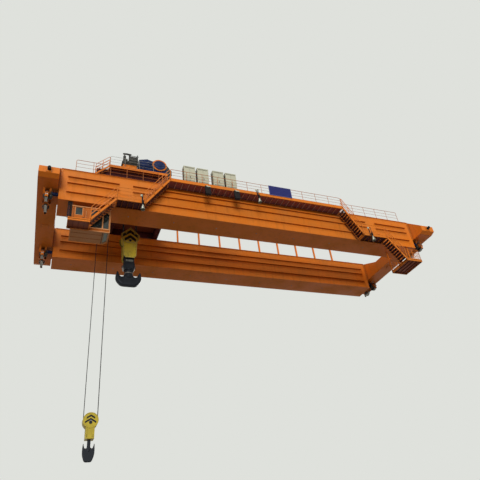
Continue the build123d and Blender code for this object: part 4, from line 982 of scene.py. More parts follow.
def addFloodlight(shape, x):
    # 0 black housing, 1 white bracket, 4 dark bracket and bolts, 5 lens
    low, high, front, back = pick(floodlight, "low high front back")
    x1, middle = x + floodlight["width"], (low + high) / 2
    outline = [(back, low), (back, high), (back - 0.07, high), (front, high - 0.05), (front, low + 0.05),
               (back - 0.05, low)]
    addPrism(shape, outline, "yz", x + 0.02, x1 - 0.02)
    window = (x + 0.05, x1 - 0.05, low + 0.09, high - 0.10)
    addFrame(shape, "xz", *window, front - 0.012, front + 0.02, 0.045)
    addPanel(shape, "xz", *window, front - 0.002, front + 0.006, 5)
    addBars(shape, spread(x + 0.04, x1 - 0.04, 9), (back, back + 0.04), (low + 0.06, high - 0.06), (0.004, 0, 0))
    arm, top = (back - 0.14, back - 0.06), (high + 0.08, high + 0.16)
    for box in ((x - 0.004, x + 0.016, *arm, middle - 0.05, high + 0.10, 4),
                (x1 - 0.016, x1 + 0.004, *arm, middle - 0.05, high + 0.10, 4),
                (x - 0.004, x + 0.13, *arm, *top, 4), (x + 0.13, x1 + 0.004, *arm, *top, 1),
                (x + 0.15, x1 - 0.15, back - 0.10, outerEdge, high + 0.16, high + 0.20, 1),
                (x + 0.19, x1 - 0.19, -6.03, outerEdge, high + 0.14, 1.74, 1),
                (x + 0.10, x1 - 0.10, back - 0.05, back + 0.045, high - 0.02, high + 0.07, 1)):
        addBox(shape, *box)
    for u, out in ((x - 0.012, -1), (x1 + 0.012, 1)):
        addBolt(shape, (u, back - 0.10, middle), (out, 0, 0), 0.03, 4)
    cable = [(x + 0.23, back + 0.03, high + 0.03), (x + 0.23, -6.02, high + 0.3), (x + 0.23, -6.015, 1.66)]
    addTube(shape, roundedPath(cable, 0.05), 0.012, 8, 4)


def addBellLamp(shape, x, top, seat):
    # driver housing with fins over a spun aluminium bell, on its bracket
    size, y, face = pick(bellLamp, "size y seatFace")
    hang = top - bellLamp["stem"] - bellLamp["length"] * (1 - size)
    driver = [*bellLamp["driverTop"]]
    for n in range(bellLamp["fins"]):
        z = -0.05 - n * bellLamp["finPitch"]
        driver += [(0.11, z), (0.11, z - 0.016), (0.094, z - 0.02), (0.094, z - 0.036)]
    driver += bellLamp["driverFoot"]
    for profile, sides, material, closed in ((driver, 28, 0, False), (bellLamp["bell"], 40, 3, True),
                                             (bellLamp["bulb"], 24, 2, False)):
        sized = [(r * size, v * size) for r, v in profile]
        addLathe(shape, (x, y, hang), toTop, sized, sides, material, closed)
    addTube(shape, roundedPath([(x, y, hang), (x, y, top + 0.012), (x, outerEdge, top + 0.012)], 0.05), 0.022, 8)
    low, high = sorted((seat, top))
    addBox(shape, x - 0.05, x + 0.05, face, outerEdge, low - 0.06, high + 0.05)
    addBox(shape, x - 0.15, x - 0.01, face - 0.08, face, top - 0.06, top + 0.12, 1)
    addBolts(shape, x + 0.03, face, (low - 0.03, high + 0.03), toFront, 0.014, 4)


def makeBridgeLamps():
    shape = bmesh.new()
    for x in floodlight["places"]:
        addFloodlight(shape, x)
    for place in bellLamp["places"]:
        addBellLamp(shape, *place)
    makePiece("floodlightsAndBellLamps", shape, "bridge",
              [blackCoatAndShade, cabinetCoat, lampLens, spunAluminium, greyCasting, darkLens], ["work_lamps"])


makeCabinets()
makePlateFrame()
makeBridgeLamps()
print("cabinets, blank plate and lamps made")


# End carriages: running gear, buffers, covers and the joints to the girders

carriage = {
    "rails": {"left": 0.0, "right": 33.8}, "half": 0.7, "middle": 3.95, "axles": 0.65, "axleHeight": -0.55,
    "plateFace": 0.15, "nose": 6.375, "bufferHeight": 0.46, "bufferPlate": 0.03, "deepTop": 2.05,
    "cap": ((0, 0), (0.17, 0), (0.17, 0.03), (0.13, 0.04), (0.12, 0.085), (0, 0.085)),
    "gearCase": ((0, 0.02), (0.2, 0.02), (0.21, 0.05), (0.21, 0.13), (0.19, 0.16), (0.08, 0.17), (0.08, 0.2),
                 (0, 0.2)),
    "motor": ((0, 0), (0.15, 0), (0.15, 0.03), (0.12, 0.04), (0.12, 0.33), (0.13, 0.34), (0.13, 0.38),
              (0.09, 0.4), (0, 0.4)),
    "fin": ((0.115, -0.004), (0.142, -0.004), (0.142, 0.004), (0.115, 0.004)),
    "buffer": ((0, 0), (0.125, 0), (0.125, 0.07), (0.105, 0.09), (0.105, 0.12), (0.125, 0.14), (0.125, 0.2),
               (0.105, 0.22), (0.105, 0.24), (0.125, 0.26), (0.115, 0.3), (0, 0.3)),
    "pivot": ((0, 0), (0.13, 0), (0.13, 0.035), (0.1, 0.05), (0, 0.05)), "pivotHeight": -0.13,
    "seams": {1.95: (2.95, 4.95), 1.1: (1.0, 2.1), 0.9: (5.6,)},        # height reached: distances from the middle
}


def addTravelDrive(shape, x, y, z, out):
    # shaft-mounted gear case with its motor standing beside the wheel
    addLathe(shape, (x, y, z), (out, 0, 0), carriage["gearCase"], 28, 1)
    addBars(shape, (x + out * 0.04, x + out * 0.15), y, (z + 0.05, z + 0.36), (0, 0.15, 0), 1)
    motorX, motorZ = x + out * 0.15, z + 0.26
    addLathe(shape, (motorX, y, motorZ), (out, 0, 0), carriage["motor"], 24, 3)
    addFins(shape, "yz", y, motorZ, carriage["fin"], 18, motorX + out * 0.05, motorX + out * 0.32, 3)
    addBoltCircle(shape, (x + out * 0.16, y, z), (out, 0, 0), 0.14, 8, 0.016, 2)


def addBogie(shape, x, y, inward):
    # axle boxes, drive, pivot caps, gussets up to the carriage and rail sweeps
    z, middle = pick(carriage, "axleHeight pivotHeight")
    for out in (-1, 1):
        face, axis = x + out * carriage["plateFace"], (out, 0, 0)
        for axle in (y - carriage["axles"], y + carriage["axles"]):
            addLathe(shape, (face, axle, z), axis, carriage["cap"], 24, 1)
            addBoltCircle(shape, (face + out * 0.03, axle, z), axis, 0.15, 6, 0.016, 2)
        addLathe(shape, (face, y, middle), axis, carriage["pivot"], 24, 1)
        addBoltCircle(shape, (face + out * 0.033, y, middle), axis, 0.1, 6, 0.014, 2)
        for v in (-0.9, 0.9):
            gusset = [(v - 0.012, 0.04), (v * 0.62 - 0.012, -0.3), (v * 0.62 + 0.012, -0.3), (v + 0.012, 0.04)]
            addPrism(shape, moved(gusset, y, 0), "yz", x + out * 0.152, x + out * 0.30)
        edge = y + out * 1.03
        addBars(shape, x, edge, (-0.90, -0.42), (0.10, 0.008, 0))
        addBars(shape, x, (edge - 0.05, edge + 0.008), (-0.60, -0.56), (0.16, 0, 0))
        addBars(shape, x, edge, (-0.935, -0.84), (0.06, 0.014, 0), 4)
    addTravelDrive(shape, x + inward * (carriage["plateFace"] + 0.06), y - carriage["axles"], z, inward)


def addBuffer(shape, x, sign):
    # mounting plate with its bolts, and a rubber body with moulded waists
    z, face = carriage["bufferHeight"], sign * carriage["nose"]
    front = face + sign * carriage["bufferPlate"]
    addBars(shape, x, (face, front), z, (0.22, 0, 0.22))
    addBolts(shape, (x - 0.17, x + 0.17), front, (z - 0.17, z + 0.17), (0, sign, 0), 0.024, 2)
    addLathe(shape, (x, face, z), (0, sign, 0), carriage["buffer"], 32, 4)


def addGirderJoint(shape, face, sign, way, inward):
    # a cleat with two columns of bolts between the girder's end and the carriage
    y = sign * (carriage["middle"] + way * 0.975)
    skin = y + sign * way * 0.016
    reach = 0.22 if inward > 0 else 0.1
    addBox(shape, face, face + inward * reach, y, skin, 0.1, carriage["deepTop"] - 0.1)
    addBolts(shape, (face + inward * 0.03, face + inward * 0.15), skin, spread(0.22, 1.795, 10),
             (0, sign * way, 0), 0.02, 2)


def makeCarriageFittings():
    # 0 orange, 1 dark casting, 2 steel, 3 blue motor, 4 rubber
    shape = bmesh.new()
    for side, x in carriage["rails"].items():
        inward = 1 if side == "left" else -1
        inner, outer = x + inward * carriage["half"], x - inward * carriage["half"]
        for sign in (-1, 1):
            addBogie(shape, x, sign * carriage["middle"], inward)
            addBuffer(shape, x, sign)
            for way in (-1, 1):
                addGirderJoint(shape, inner, sign, way, inward)
        for y in (-carriage["middle"], 0.0, carriage["middle"]):        # access covers on the outer face
            cover = outer - inward * 0.014
            addBars(shape, (outer, cover), y, 0.62, (0, 0.34, 0.24))
            addBolts(shape, cover, [y + u for u in (-0.3, -0.1, 0.1, 0.3)], (0.42, 0.82), (-inward, 0, 0), 0.013, 2)
        for face, out in ((outer, -inward), (inner, inward)):           # weld seams over the diaphragms
            skin = (face - out * 0.002, face + out * 0.006)
            for high, places in carriage["seams"].items():
                ys = [y for place in places if out != inward or high < 1.2 for y in (-place, place)]
                addBars(shape, skin, ys, (0.06, high), (0, 0.012, 0))
            addBox(shape, *skin, -5.9, 5.9, 0.055, 0.085)
        for y in (-4.6, -3.3, 3.3, 4.6):                                # lifting eyes
            lug = [(-0.14, 2.045), (0.14, 2.045), (0.07, 2.25), (-0.07, 2.25)]
            addPrism(shape, moved(lug, y, 0), "yz", x - 0.02, x + 0.02)
            addDisc(shape, (x - 0.045, y, 2.16), (1, 0, 0), 0.075, 0.09, 20, 0, 0.035)
    makePiece("carriageFittings", shape, "bridge",
              [orangeEnamel, greyCasting, turnedSteel, blueEnamel, bufferRubber], ["end_buffers"])


makeCarriageFittings()
print("end carriages fitted out")


# Girders and walkways: seams, rib edges, rail clips, conduits and cable track fittings

girder = {
    "centres": (-3.95, 3.95), "seamXs": [7.6, 14.9, 21.8, 27.4], "flangeSeamXs": [9.4, 17.2, 24.6],
    "seamHalf": 0.011, "ribs": 30, "ribLow": 1.682, "clipPitch": 0.8, "lips": (1.58, 1.888), "conduit": 0.018,
    "conduitHeight": 1.655, "straps": 16, "plugs": 9, "plugPitch": 3.6,
    "plug": ((0, 0), (0.045, 0), (0.045, 0.012), (0.03, 0.02), (0, 0.02)),
    "hatches": ((5.16, 6.06), (27.95, 28.85)), "hatchHeights": (-0.62, 0.32),
}


def makeGirderTrim():
    # 0 orange, 1 pale rib edges as painted highlight, 2 steel
    shape = bmesh.new()
    left, right, low, high = pick(bridge, "left right bottom top")
    x0, x1 = walkwayEnds
    for centre in girder["centres"]:
        side = math.copysign(1, centre)
        outer, inner, edge = (side * bridge[key] for key in ("outerWeb", "innerWeb", "walkwayEdge"))
        for face, out in ((outer, side), (inner, -side)):
            addBars(shape, girder["seamXs"], (face - out * 0.002, face + out * 0.005), (low + 0.03, high - 0.03),
                    (girder["seamHalf"], 0, 0))
            for z, reach in ((low + 0.028, 0), (high - 0.046, 0.018)):       # fillet welds of web to flange
                addPrism(shape, [(face, z), (face + out * 0.018, z + reach), (face, z + 0.018)], "yz",
                         left + 0.02, right - 0.02)
        flange = (side * bridge["flangeEdge"], inner - side * 0.06)
        addBars(shape, girder["flangeSeamXs"], flange, (low - 0.005, low + 0.002), (0.014, 0, 0))
        for n in range(girder["plugs"]):                                    # drain and vent plugs
            addLathe(shape, (left + 1.6 + n * girder["plugPitch"], centre, low + 0.002), toGround, girder["plug"],
                     12, 2)
        count = round((right - left - 1.0) / girder["clipPitch"])
        for x, out in product(middles(left + 0.5, right - 0.5, count), (-1, 1)):     # clips along the rail
            near, far = centre + out * 0.075, centre + out * 0.135
            addPrism(shape, [(near, high + 0.025), (near, high + 0.05), (far, high + 0.03), (far, high)], "yz",
                     x - 0.035, x + 0.035, 2)
        # edge channel's lips, rib edges below the deck painted pale as a painted highlight, and conduits along the
        # web
        for z in girder["lips"]:
            addBox(shape, x0, x1, edge, edge - side * 0.055, z, z + 0.012)
        addBars(shape, spread(x0 + 0.01, x1 - 0.01, girder["ribs"] + 1), (edge - side * 0.06, outer),
                (girder["ribLow"] - 0.006, girder["ribLow"]), (0.02, 0, 0), 1)
        for y in (outer + side * 0.04, outer + side * 0.09):
            z = girder["conduitHeight"]
            addTube(shape, [(x0 + 0.1, y, z), (x1 - 0.1, y, z)], girder["conduit"], 8)
        addBars(shape, spread(x0 + 0.3, x1 - 0.3, girder["straps"]), (outer, outer + side * 0.12), (1.625, 1.637),
                (0.02, 0, 0))
    # hatches in the plain panels beside the landings
    face = -bridge["outerWeb"]
    v0, v1 = girder["hatchHeights"]
    for a, b in girder["hatches"]:
        addPanel(shape, "xz", a, b, v0, v1, face - 0.012, face)
        addFrame(shape, "xz", a + 0.03, b - 0.03, v0 + 0.03, v1 - 0.03, face - 0.02, face - 0.01, 0.03)
        addBolts(shape, spread(a + 0.1, b - 0.1, 5), face - 0.02, (v0 + 0.015, v1 - 0.015), toFront, 0.014, 2)
    makePiece("girderTrim", shape, "bridge", [orangeEnamel, paleRibHighlight, turnedSteel])


cableTrack = {
    "y": 4.91, "top": 5.15, "posts": 13, "start": 3.3, "end": 30.5, "links": 110, "stackShare": 0.52,
    "linkShare": 0.86, "footPlate": 0.018,
}


def makeTrackFittings():
    # feet and knee plates of the cable track's posts, the trough's lips and the folded cable chain in it
    shape = bmesh.new()
    y, top, start, end = pick(cableTrack, "y top start end")
    base, foot = bridge["top"], bridge["top"] + cableTrack["footPlate"]
    posts = spread(start, end, cableTrack["posts"])
    addBars(shape, posts, (y - 0.125, y + 0.075), (base, foot), (0.14, 0, 0))
    addBars(shape, posts, (y - 0.083, y - 0.073), (top - 0.12, top + 0.05), (0.05, 0, 0))
    for x in posts:
        addBolts(shape, (x - 0.11, x + 0.11), y - 0.095, foot, toTop, 0.018, 1)
        for u in (-0.11, 0.11):
            knee = [(0, 0), (u * 1.15, 0), (u * 0.7, 0.182), (0, 0.182)]
            addPrism(shape, moved(knee, x, foot), "xz", y - 0.006, y + 0.006)
        addPrism(shape, [(y + 0.07, top), (y + 0.24, top), (y + 0.07, top - 0.3)], "yz", x - 0.006, x + 0.006)
    for place in (y - 0.075, y + 0.248):
        addBox(shape, start - 0.2, end + 0.2, place, place + 0.012, top + 0.15, top + 0.21)
    length = (end - start) * cableTrack["stackShare"]
    half = length / cableTrack["links"] / 2 * cableTrack["linkShare"]
    addBars(shape, middles(start, start + length, cableTrack["links"]), (y, y + 0.17), (top + 0.165, top + 0.215),
            (half, 0, 0), 2)
    makePiece("cableTrackFittings", shape, "bridge", [orangeEnamel, turnedSteel, blackCoatAndShade])


makeGirderTrim()
makeTrackFittings()
print("girder trim made")


# Trolley: deck, railings and machinery

trolley = {
    "left": 3.35, "right": 9.95, "gauge": 3.95, "beamHalf": 0.32, "deck": 3.302, "deckLeft": 4.30,
    "deckRight": 9.0, "deckEdge": 4.74, "boardTop": 3.472, "wheelXs": (4.10, 9.20), "axle": 2.53,
    "railingHeight": 0.93, "railingTube": 0.011, "ladderFoot": (3.15, 2.18), "ladderWidth": 0.45,
    "treads": 5, "treadBars": 5, "gearFront": -4.6, "gearBack": -3.98,
    "pipes": ((3.10, 0.03), (2.98, 0.022), (2.88, 0.022), (2.70, 0.03)),        # height and radius
    "axleCap": ((0, 0), (0.2, 0), (0.2, 0.03), (0.15, 0.045), (0.15, 0.07), (0, 0.07)),
    "openings": ((6.02, 7.5, -0.9, 0.9), (4.03, 5.09, -0.42, 0.42), (7.22, 9.5, -2.66, 2.66)),
}
deck, gearFront, gearBack = pick(trolley, "deck gearFront gearBack")
mainDrum = {
    "x": 8.36, "z": 4.35, "radius": 0.96, "half": 2.6, "rope": 0.018, "pitch": 0.046, "gap": 0.3,
    "leadTo": (6.76, 0.54), "leadRows": (-0.36, 0.36), "flange": 1.08, "shaft": 0.16, "bolts": 24,
    "seat": (2.75, 3.02),
}
auxDrum = {
    "x": 5.46, "z": 4.10, "radius": 0.45, "half": 1.3, "rope": 0.015, "pitch": 0.04, "gap": 0.12,
    "leadTo": (4.56, 0.45), "leadRows": (-0.13, 0.13), "flange": 0.56, "shaft": 0.09, "bolts": 12,
    "seat": (1.36, 1.56),
}
upperSheaveHeight = 2.95


def makeTrolleyRailings():
    shape = bmesh.new()
    x0, x1, base = trolley["deckLeft"] + 0.03, trolley["deckRight"] - 0.03, trolley["boardTop"]
    for side in (-1, 1):
        y = side * (trolley["deckEdge"] - railing["inset"])
        addRailing(shape, (x0, y, base), (x1, y, base), trolley["railingHeight"], 4, trolley["railingTube"])
    makePiece("trolleySideRailings", shape, "trolley", [galvanisedTube], ["trolley_railings"])


def makeTrolleyLadder():
    shape = bmesh.new()
    outer, inner = -trolley["deckEdge"], trolley["ladderWidth"] - trolley["deckEdge"]
    (footX, footZ), topX = pick(trolley, "ladderFoot deckLeft")
    for face, inward in ((outer, 1), (inner, -1)):
        stringer = [(topX, deck - 0.10), (topX, deck + 0.09), (footX, footZ + 0.09), (footX, footZ - 0.05),
                    (footX + 0.06, footZ - 0.05)]
        flange = [(topX, deck + 0.078), (topX, deck + 0.09), (footX, footZ + 0.09), (footX, footZ + 0.078)]
        addPrism(shape, stringer, "xz", face, face + inward * 0.012)
        addPrism(shape, flange, "xz", face, face + inward * 0.05)
    ys = (outer + 0.012, inner - 0.012)
    for share in spread(0, 1, trolley["treads"] + 2)[1:-1]:
        x, z = topX + (footX - topX) * share, deck + (footZ - deck) * share
        # the treads take the dark red-brown: painted shade
        addBars(shape, spread(x - 0.09, x + 0.09, trolley["treadBars"]), ys, (z - 0.025, z), (0.005, 0, 0), 1)
        addBox(shape, x - 0.1, x - 0.07, *ys, z - 0.03, z + 0.004, 1)
    for y in (outer + 0.02, inner - 0.02):
        addRailing(shape, (topX, y, deck + 0.08), (footX + 0.1, y, footZ + 0.15), 0.95, 2)
    makePiece("trolleyStepLadder", shape, "trolley", [orangeEnamel, shadedRedOxide], ["trolley_ladder"])


def makeDeckTrim():
    # lips of the edge channels, conduits and brackets under the side decks, coamings round the rope openings
    shape = bmesh.new()
    x0, x1, edge, left, right = pick(trolley, "deckLeft deckRight deckEdge left right")
    for side in (-1, 1):
        lip = (side * (edge - 0.05), side * edge)
        for z in (trolley["boardTop"] - 0.012, deck - 0.072):
            addBox(shape, x0, x1, *lip, z, z + 0.012)
        face = side * (trolley["gauge"] + trolley["beamHalf"])
        # conduits and brackets under the side decks take the dark red-brown: painted shade
        for z, radius in trolley["pipes"]:
            y = face + side * (radius + 0.025)
            addTube(shape, [(left + 0.2, y, z), (right - 0.2, y, z)], radius, 10, 1)
            addBars(shape, spread(left + 0.5, left + 6.1, 8), (face, y + side * (radius + 0.006)), z,
                    (0.02, 0, radius + 0.008), 1)
        for x in spread(x0 + 0.05, x1 - 0.05, 6):
            addPrism(shape, [(face, 3.28), (lip[0], 3.28), (lip[0], 3.22), (face, 2.95)], "yz", x - 0.006,
                     x + 0.006, 1)
        for x, out in product(trolley["wheelXs"], (-1, 1)):
            y, z = side * trolley["gauge"] + out * trolley["beamHalf"], trolley["axle"]
            addLathe(shape, (x, y - out * 0.002, z), (0, out, 0), trolley["axleCap"], 24, 2)
            addBoltCircle(shape, (x, y + out * 0.03, z), (0, out, 0), 0.175, 8, 0.018, 2)
    for opening in trolley["openings"]:
        addFrame(shape, "xy", *opening, deck - 0.002, deck + 0.1, 0.012)
    for end in (left, right - 0.05):
        addBox(shape, end, end + 0.05, -3.6, 3.6, deck - 0.002, deck + 0.1)
    makePiece("trolleyDeckTrim", shape, "trolley", [orangeEnamel, shadedRedOxide, greyCasting])


def addGearFlange(shape, x0, x1, level, bolts):
    # the joint between a gear casing's halves, with its row of bolts
    addFrame(shape, "xy", x0, x1, gearFront, gearBack, level - 0.035, level + 0.035, 0.045)
    addBolts(shape, middles(x0, x1, bolts), (gearFront - 0.022, gearBack + 0.022), level + 0.035, toTop,
             0.02, 1)


def addBearingCap(shape, x, z, radius, bolts):
    profile = [(0, 0), (radius, 0), (radius, 0.035), (radius * 0.72, 0.055), (radius * 0.66, 0.075), (0, 0.075)]
    addLathe(shape, (x, gearFront + 0.002, z), toFront, profile)
    addBoltCircle(shape, (x, gearFront - 0.033, z), toFront, radius * 0.86, bolts, 0.018, 1)


mainGear = {
    "x0": 6.625, "x1": 8.93, "split": 4.03, "foot": (3.542, 3.585), "footBolts": 7,
    "webs": ((6.80, 3.57, 4.0), (7.42, 3.57, 4.0), (7.78, 3.57, 4.0), (8.62, 3.57, 3.99), (6.80, 4.06, 4.42),
             (7.62, 4.06, 4.5)),                                # x, foot and top
    "caps": ((7.055, 3.812, 0.15, 6), (7.50, 4.40, 0.2, 8)),
    "ringCover": ((0, 0), (0.48, 0), (0.46, 0.02), (0.2, 0.03), (0.17, 0.055), (0, 0.055)),
    "ringBolts": ((0.108, 0.42, 16, 0.018, 1), (0.07, 0.555, 24, 0.022, 2)),
    "hatch": ((6.74, 4.682), (7.24, 4.839), (7.24, 4.876), (6.74, 4.719)),
    "breather": (7.62, -4.29, 4.72), "eyes": ((6.72, 4.60), (8.80, 4.68)),
}


def makeMainReducerFittings():
    # 0 blue, 1 dark fittings, 2 the orange ring's bolts
    shape = bmesh.new()
    x, z, x0 = mainDrum["x"], mainDrum["z"], mainGear["x0"]
    low, high = mainGear["foot"]
    addGearFlange(shape, x0, mainGear["x1"], mainGear["split"], 10)
    addFrame(shape, "xy", x0, 8.975, gearFront, gearBack, low, high, 0.05)
    addBolts(shape, spread(6.75, 8.85, mainGear["footBolts"]), (gearFront - 0.025, gearBack + 0.025), high,
             toTop, 0.026, 1)
    for place, foot, top in mainGear["webs"]:
        for faces in ((gearFront - 0.04, gearFront), (gearBack, gearBack + 0.04)):
            addBars(shape, place, faces, (foot, top), (0.012, 0, 0))
    for cap in mainGear["caps"]:
        addBearingCap(shape, *cap)
    addLathe(shape, (x, gearFront - 0.09, z), toFront, mainGear["ringCover"], 48)
    for out, *circle in mainGear["ringBolts"]:
        addBoltCircle(shape, (x, gearFront - out, z), toFront, *circle)
    addPrism(shape, mainGear["hatch"], "xz", gearFront + 0.12, gearBack - 0.12)
    for u, y in product((0.1, 0.5, 0.9), (gearFront + 0.15, gearBack - 0.15)):
        addBolt(shape, (6.74 + 0.5 * u, y, 4.719 + 0.157 * u), (-0.3, 0, 1), 0.018, 1)
    pipeX, pipeY, pipeZ = mainGear["breather"]
    addTube(shape, [(pipeX, pipeY, pipeZ), (pipeX, pipeY, pipeZ + 0.26)], 0.035, 10, 1)
    addLathe(shape, (pipeX, pipeY, pipeZ + 0.24), toTop,
             [(0, 0), (0.06, 0), (0.06, 0.05), (0.03, 0.07), (0, 0.07)], 16, 1)
    for u, v in mainGear["eyes"]:
        addPrism(shape, moved([(-0.08, 0), (0.08, 0), (0.05, 0.24), (-0.05, 0.24)], u, v), "xz", -4.31, -4.27)
    makePiece("mainReducerFittings", shape, "trolley", [blueEnamel, greyCasting, orangeEnamel],
              edge=0.005)


guard = {
    "outer": 1.10, "inner": 1.02, "rim": 0.80, "boltCircle": 1.06, "start": -26, "end": 124, "steps": 24,
    "front": -3.965, "back": -3.755, "sheet": 0.01,
    "strut": ((7.62, 4.60), (7.72, 4.60), (7.80, 5.26), (7.70, 5.22)),
}


def makeDiscGuard():
    # dark sheet guard over the upper right of the brake disc, on two feet beside the reducer
    shape = bmesh.new()
    x, z = pick(mainDrum, "x z")
    front, back, sheet, circle = pick(guard, "front back sheet boltCircle")
    outer, inner, rim = (arc(x, z, guard[key], guard["start"], guard["end"], guard["steps"])
                         for key in ("outer", "inner", "rim"))
    addBand(shape, outer, inner, "xz", front + sheet, back - sheet, closed=False)
    for y in (front, back - sheet):
        addBand(shape, outer, rim, "xz", y, y + sheet, closed=False)
    for u, v in arc(x, z, circle, guard["start"] + 6, guard["end"] - 6, 8):
        addBolt(shape, (u, front, v), toFront, 0.02, 1)
    u, v = arc(x, z, circle, guard["start"], guard["end"], 1)[0]
    addPrism(shape, [(u - 0.05, deck), (u + 0.05, deck), (u + 0.02, v + 0.05), (u - 0.04, v + 0.05)], "xz",
             front + 0.015, back - 0.015)
    addPrism(shape, guard["strut"], "xz", front - 0.025, front + 0.005)
    makePiece("brakeDiscGuard", shape, "trolley", [greyCasting, turnedSteel])


mainMotor = {
    "x": 7.055, "z": 3.812, "fins": 40, "lowestFin": -0.85,
    "fin": ((0.42, -0.006), (0.475, -0.004), (0.475, 0.004), (0.42, 0.006)),
    "bell": ((0.2, 0), (0.47, 0), (0.485, 0.02), (0.485, 0.1), (0.2, 0.1)),
    "cowl": ((0.3, 0), (0.46, 0), (0.47, 0.12), (0.42, 0.2), (0.1, 0.22), (0, 0.22)), "cowlBars": 5,
    "shaftGuard": 0.29, "finEnds": (-3.6, -2.92), "bells": (-3.72, -2.94), "cowlStart": -2.84,
    "cowlFace": (-2.63, -2.605), "box": (-3.45, -3.08), "lid": (-3.465, -3.065), "guardEnds": (-3.95, -3.77),
    "cable": ((0.15, 0.5), (0.34, 0.5), (0.42, 0.3)), "cableY": -3.26, "eyeEnds": (-3.62, -3.50),
    "bed": (-3.6, -2.85), "bedBolts": (-3.5, -2.95),
}


def makeMainMotorFittings():
    # 0 blue, 1 dark fittings, 2 orange guard of the shaft
    shape = bmesh.new()
    x, z, reach = pick(mainMotor, "x z shaftGuard")
    addFins(shape, "xz", x, z, mainMotor["fin"], mainMotor["fins"], *mainMotor["finEnds"],
            keep=lambda turn: math.sin(turn) > mainMotor["lowestFin"])
    for y in mainMotor["bells"]:
        addLathe(shape, (x, y, z), toBack, mainMotor["bell"], 40)
    addLathe(shape, (x, mainMotor["cowlStart"], z), toBack, mainMotor["cowl"], 40, 1)
    for n in range(mainMotor["cowlBars"]):
        addBars(shape, x, mainMotor["cowlFace"], (z - 0.25 + n * 0.12, z - 0.22 + n * 0.12), (0.3, 0, 0), 1)
    addBars(shape, x, mainMotor["box"], (z + 0.4, z + 0.6), (0.17, 0, 0))                   # terminal box
    addBars(shape, x, mainMotor["lid"], (z + 0.585, z + 0.61), (0.185, 0, 0), 1)
    addTube(shape, [(x + u, mainMotor["cableY"], z + v) for u, v in mainMotor["cable"]], 0.025, 8, 1)
    near, far = mainMotor["eyeEnds"]
    eye = [(x, near, z + 0.42), (x, near, z + 0.58), (x, far, z + 0.58), (x, far, z + 0.42)]
    addTube(shape, roundedPath(eye, 0.06), 0.016, 8, 1)
    addBars(shape, x, mainMotor["bed"], (deck, deck + 0.04), (0.42, 0, 0))
    addBolts(shape, (x - 0.38, x + 0.38), mainMotor["bedBolts"], deck + 0.04, toTop, 0.03, 1)
    outer, inner = (arc(x, z, reach * share, 0, 180, 12) for share in (1, 0.97))
    for y in mainMotor["guardEnds"]:
        addPrism(shape, [*outer, (x - reach, z - 0.4), (x + reach, z - 0.4)], "xz", y, y + 0.008, 2)
    addBand(shape, outer, inner, "xz", *mainMotor["guardEnds"], 2, closed=False)
    makePiece("mainMotorFittings", shape, "trolley", [blueEnamel, greyCasting, orangeEnamel])


def addWinding(shape, drum, y0, y1):
    # the turns of rope that lie in the drum's grooves
    core, crest = drum["radius"] - drum["rope"] * 0.4, drum["radius"] + drum["rope"]
    count = round((y1 - y0) / drum["pitch"])
    step = (y1 - y0) / count
    profile = [(core, y0)]
    for n in range(count):
        start = y0 + step * n
        profile += [(crest, start + step * 0.3), (crest, start + step * 0.7), (core, start + step)]
    addLathe(shape, (drum["x"], 0, drum["z"]), toBack, profile, 44)


def addSheaveRopes(shape, look, height, rows, way):
    # the rope that lies over or under a block's sheaves
    for y in rows:
        half = arc(look["x"], height, look["sheave"], 0, 180 * way, 20)
        addTube(shape, [(x, y, z) for x, z in half], look["rope"], 8)


def makeDrumRopes():
    shape = bmesh.new()
    for drum in (mainDrum, auxDrum):
        reach, (x, sheave) = drum["half"] - 0.12, drum["leadTo"]
        addWinding(shape, drum, -reach, -drum["gap"])
        addWinding(shape, drum, drum["gap"], reach)
        for y in drum["leadRows"]:
            addRope(shape, (x + sheave, y, upperSheaveHeight), (drum["x"] - drum["radius"], y, drum["z"]),
                    drum["rope"])
    addSheaveRopes(shape, mainBlock, upperSheaveHeight, mainBlock["rows"][1:3], 1)
    makePiece("drumRopes", shape, "trolley", [ropeSteel])
    for name, body, look in (("mainSheaveRopes", "main_block", mainBlock),
                             ("auxSheaveRopes", "aux_block", auxBlock)):
        shape = bmesh.new()
        addSheaveRopes(shape, look, look["axle"], look["rows"], -1)
        makePiece(name, shape, body, [ropeSteel])


caliper = {         # x and z are measured from the main drum's axle, y isn't
    "boxes": ((0.7, 1.12, -3.96, -3.9, -0.22, 0.22), (0.7, 1.12, -3.82, -3.7, -0.22, 0.22),
              (1.0, 1.2, -3.96, -3.7, -0.28, 0.28)),
    "bed": (0.92, 1.24, -3.99, -3.66), "post": (-3.92, -3.74), "postFoot": (0.96, 1.22), "postHead": (1.17, 1.03),
    "spring": ((0, 0), (0.15, 0), (0.15, 0.22), (0.11, 0.26), (0, 0.26)), "springPlace": (1.1, -3.7),
}


